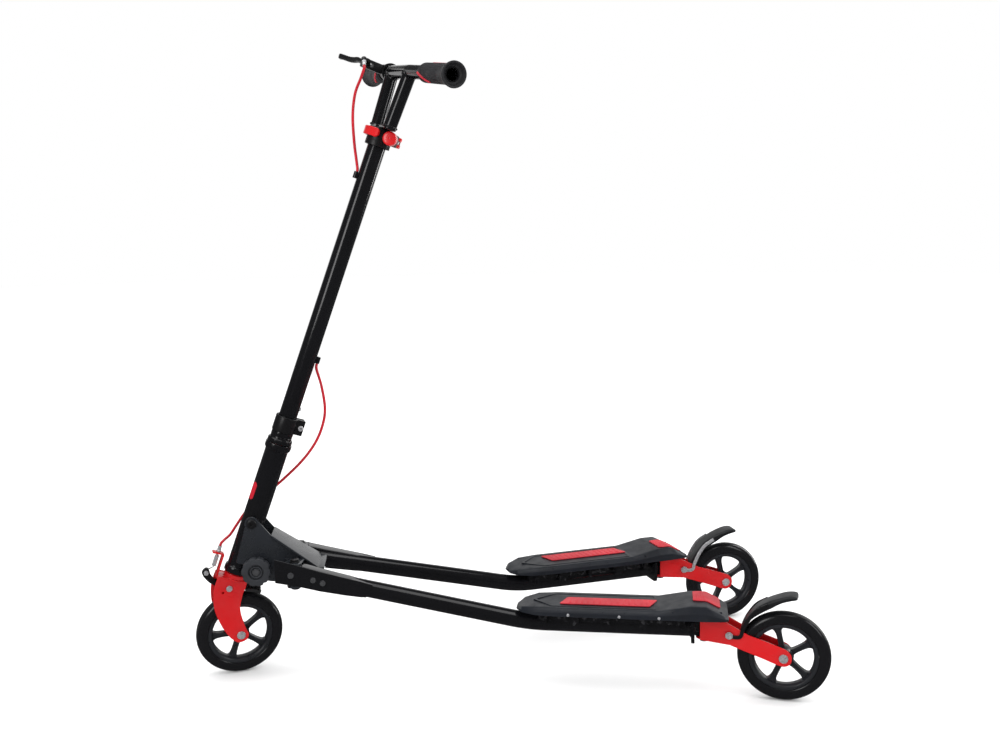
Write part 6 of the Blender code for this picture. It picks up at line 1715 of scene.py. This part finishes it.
def build_floor():
    """Pale seamless floor."""
    floor = bpy.data.meshes.new("floor")
    points = [ORIGIN]
    for reach in FLOOR_RINGS:
        points += [(x, y, 0.0) for x, y in circle(ORIGIN, reach, FLOOR_STEPS)]
    faces = [(0, 1 + k, 1 + (k + 1) % FLOOR_STEPS) for k in range(FLOOR_STEPS)]
    for row in range(len(FLOOR_RINGS) - 1):
        first = 1 + row * FLOOR_STEPS
        for k in range(FLOOR_STEPS):
            n = (k + 1) % FLOOR_STEPS
            faces.append((first + k, first + FLOOR_STEPS + k, first + FLOOR_STEPS + n, first + n))
    floor.from_pydata(points, [], faces)
    made = bpy.data.objects.new("studio_floor", floor)
    bpy.context.scene.collection.objects.link(made)
    made.visible_glossy = False
    look, tree, shader = nodes_of("studio_floor", (0.94, 0.94, 0.94), 0.0, 0.9, specular=0.0)
    soft = noise(tree, 3.0, 2.0)
    shade = ramp(tree, soft.outputs["Fac"], ((0.3, (0.935, 0.935, 0.935)), (0.7, (0.945, 0.945, 0.945))))
    tree.links.new(shade, shader.inputs["Base Color"])
    floor.materials.append(look)


def build_world():
    """Even white surroundings: one strength as seen, one as light and one as mirrored."""
    world = bpy.data.worlds.new("studio")
    bpy.context.scene.world = world
    world.use_nodes = True
    tree = world.node_tree
    background = tree.nodes["Background"]
    background.inputs["Color"].default_value = (1.0, 1.0, 1.0, 1.0)
    path = tree.nodes.new("ShaderNodeLightPath")
    total = tree.nodes.new("ShaderNodeMath")
    total.operation = "ADD"
    for number, (ray, plain, other) in enumerate((("Is Camera Ray", WORLD_LIGHT, WORLD_SEEN),
                                                  ("Is Glossy Ray", 0.0, WORLD_MIRRORED - WORLD_LIGHT))):
        level = tree.nodes.new("ShaderNodeMapRange")
        level.inputs["To Min"].default_value = plain
        level.inputs["To Max"].default_value = other
        tree.links.new(path.outputs[ray], level.inputs["Value"])
        tree.links.new(level.outputs["Result"], total.inputs[number])
    tree.links.new(total.outputs["Value"], background.inputs["Strength"])
    bpy.context.scene.view_settings.view_transform = "Standard"


def build_lights():
    """Soft rectangular studio lights."""
    for name, at, aim, size, power in LIGHTS:
        light = bpy.data.lights.new(name, "AREA")
        light.shape = "RECTANGLE"
        light.size, light.size_y = size
        light.energy = power
        made = bpy.data.objects.new(name, light)
        turn = (Vector(aim) - Vector(at)).to_track_quat("-Z", "Y")
        made.matrix_world = Matrix.Translation(at) @ turn.to_matrix().to_4x4()
        made.visible_camera = False
        bpy.context.scene.collection.objects.link(made)


def build_camera(shift):
    """The camera that took the photograph."""
    data = bpy.data.cameras.new("photo_camera")
    data.sensor_width = SENSOR_WIDTH
    data.lens = CAMERA_LENS
    data.clip_start, data.clip_end = CAMERA_CLIP
    made = bpy.data.objects.new("photo_camera", data)
    ahead = Vector((sin(CAMERA_YAW) * cos(CAMERA_PITCH), cos(CAMERA_YAW) * cos(CAMERA_PITCH),
                    -sin(CAMERA_PITCH)))
    right = Vector((cos(CAMERA_YAW), -sin(CAMERA_YAW), 0.0))
    up = right.cross(ahead)
    rolled = right * cos(CAMERA_ROLL) + up * sin(CAMERA_ROLL)
    above = -right * sin(CAMERA_ROLL) + up * cos(CAMERA_ROLL)
    matrix = Matrix((rolled, above, -ahead)).transposed().to_4x4()
    made.matrix_world = Matrix.Translation(Vector(CAMERA_AT) + shift) @ matrix
    bpy.context.scene.collection.objects.link(made)
    bpy.context.scene.camera = made


def main():
    """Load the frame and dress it."""
    for old in list(bpy.data.objects):
        bpy.data.objects.remove(old, do_unlink=True)
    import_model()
    middles = []
    for name in ("swing_bolt_left", "swing_bolt_right"):
        low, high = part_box(name)
        middles.append((Vector(low) + Vector(high)) / 2)
    shift = (middles[0] + middles[1]) / 2 - Vector((SWING_X, 0, 0))
    shift.z = 0.0
    LOOKS.update(make_looks())

    top = Matrix.Translation(shift)
    head = top @ Matrix.Translation((AXIS_FOOT_X, 0, 0)) @ Matrix.Rotation(LEAN, 4, "Y")
    steering = head @ Matrix.Rotation(STEER_AT_REST, 4, "Z")
    axle_at = front_axle_at()
    front = steering @ Matrix.Translation((TRAIL_OFFSET, 0, axle_at)) @ Matrix.Rotation(-LEAN, 4, "Y")
    build_frame(top)
    build_head(head)
    arm_at = build_fork(steering, axle_at)
    axle("front_axle", "steering", front)
    wheel("front", "front_wheel", front, SPOKE_TURN["front"])
    build_stem(steering)
    build_front_brake(steering, axle_at, arm_at)
    build_handlebar(steering)
    build_grips(steering)
    build_brake_lever(steering)
    build_clamp(steering @ Matrix.Rotation(CLAMP_TURN, 4, "Z"))
    for side, tag in SIDES:
        rest = side * ARM_AT_REST[tag]
        heading = atan2(ARM_END[1] - ARM_BEND[1], ARM_END[0] - ARM_BEND[0])
        arm = top @ Matrix.Translation((SWING_X, side * SWING_Y, 0)) @ Matrix.Rotation(rest, 4, "Z")
        swivel = Matrix.Translation((SWIVEL_X - SWING_X, side * (SWIVEL_Y - SWING_Y), 0))
        to_deck = swivel @ Matrix.Rotation(side * heading, 4, "Z")
        caster = arm @ swivel @ Matrix.Rotation(side * TOE[tag] - rest, 4, "Z")
        rear = caster @ Matrix.Translation((CASTER_TRAIL, 0, WHEEL_RADIUS))
        build_arm(side, tag, arm, to_deck)
        build_deck(tag, arm @ to_deck)
        build_pads(side, tag, arm @ to_deck)
        build_deck_bolts(side, tag, arm @ to_deck)
        build_caster(tag, caster)
        build_foot_brake(tag, caster)
        axle(f"{tag}_axle", f"{tag}_caster", rear)
        wheel(tag, f"{tag}_wheel", rear, SPOKE_TURN[tag])
    build_floor()
    build_world()
    build_lights()
    build_camera(shift)


main()
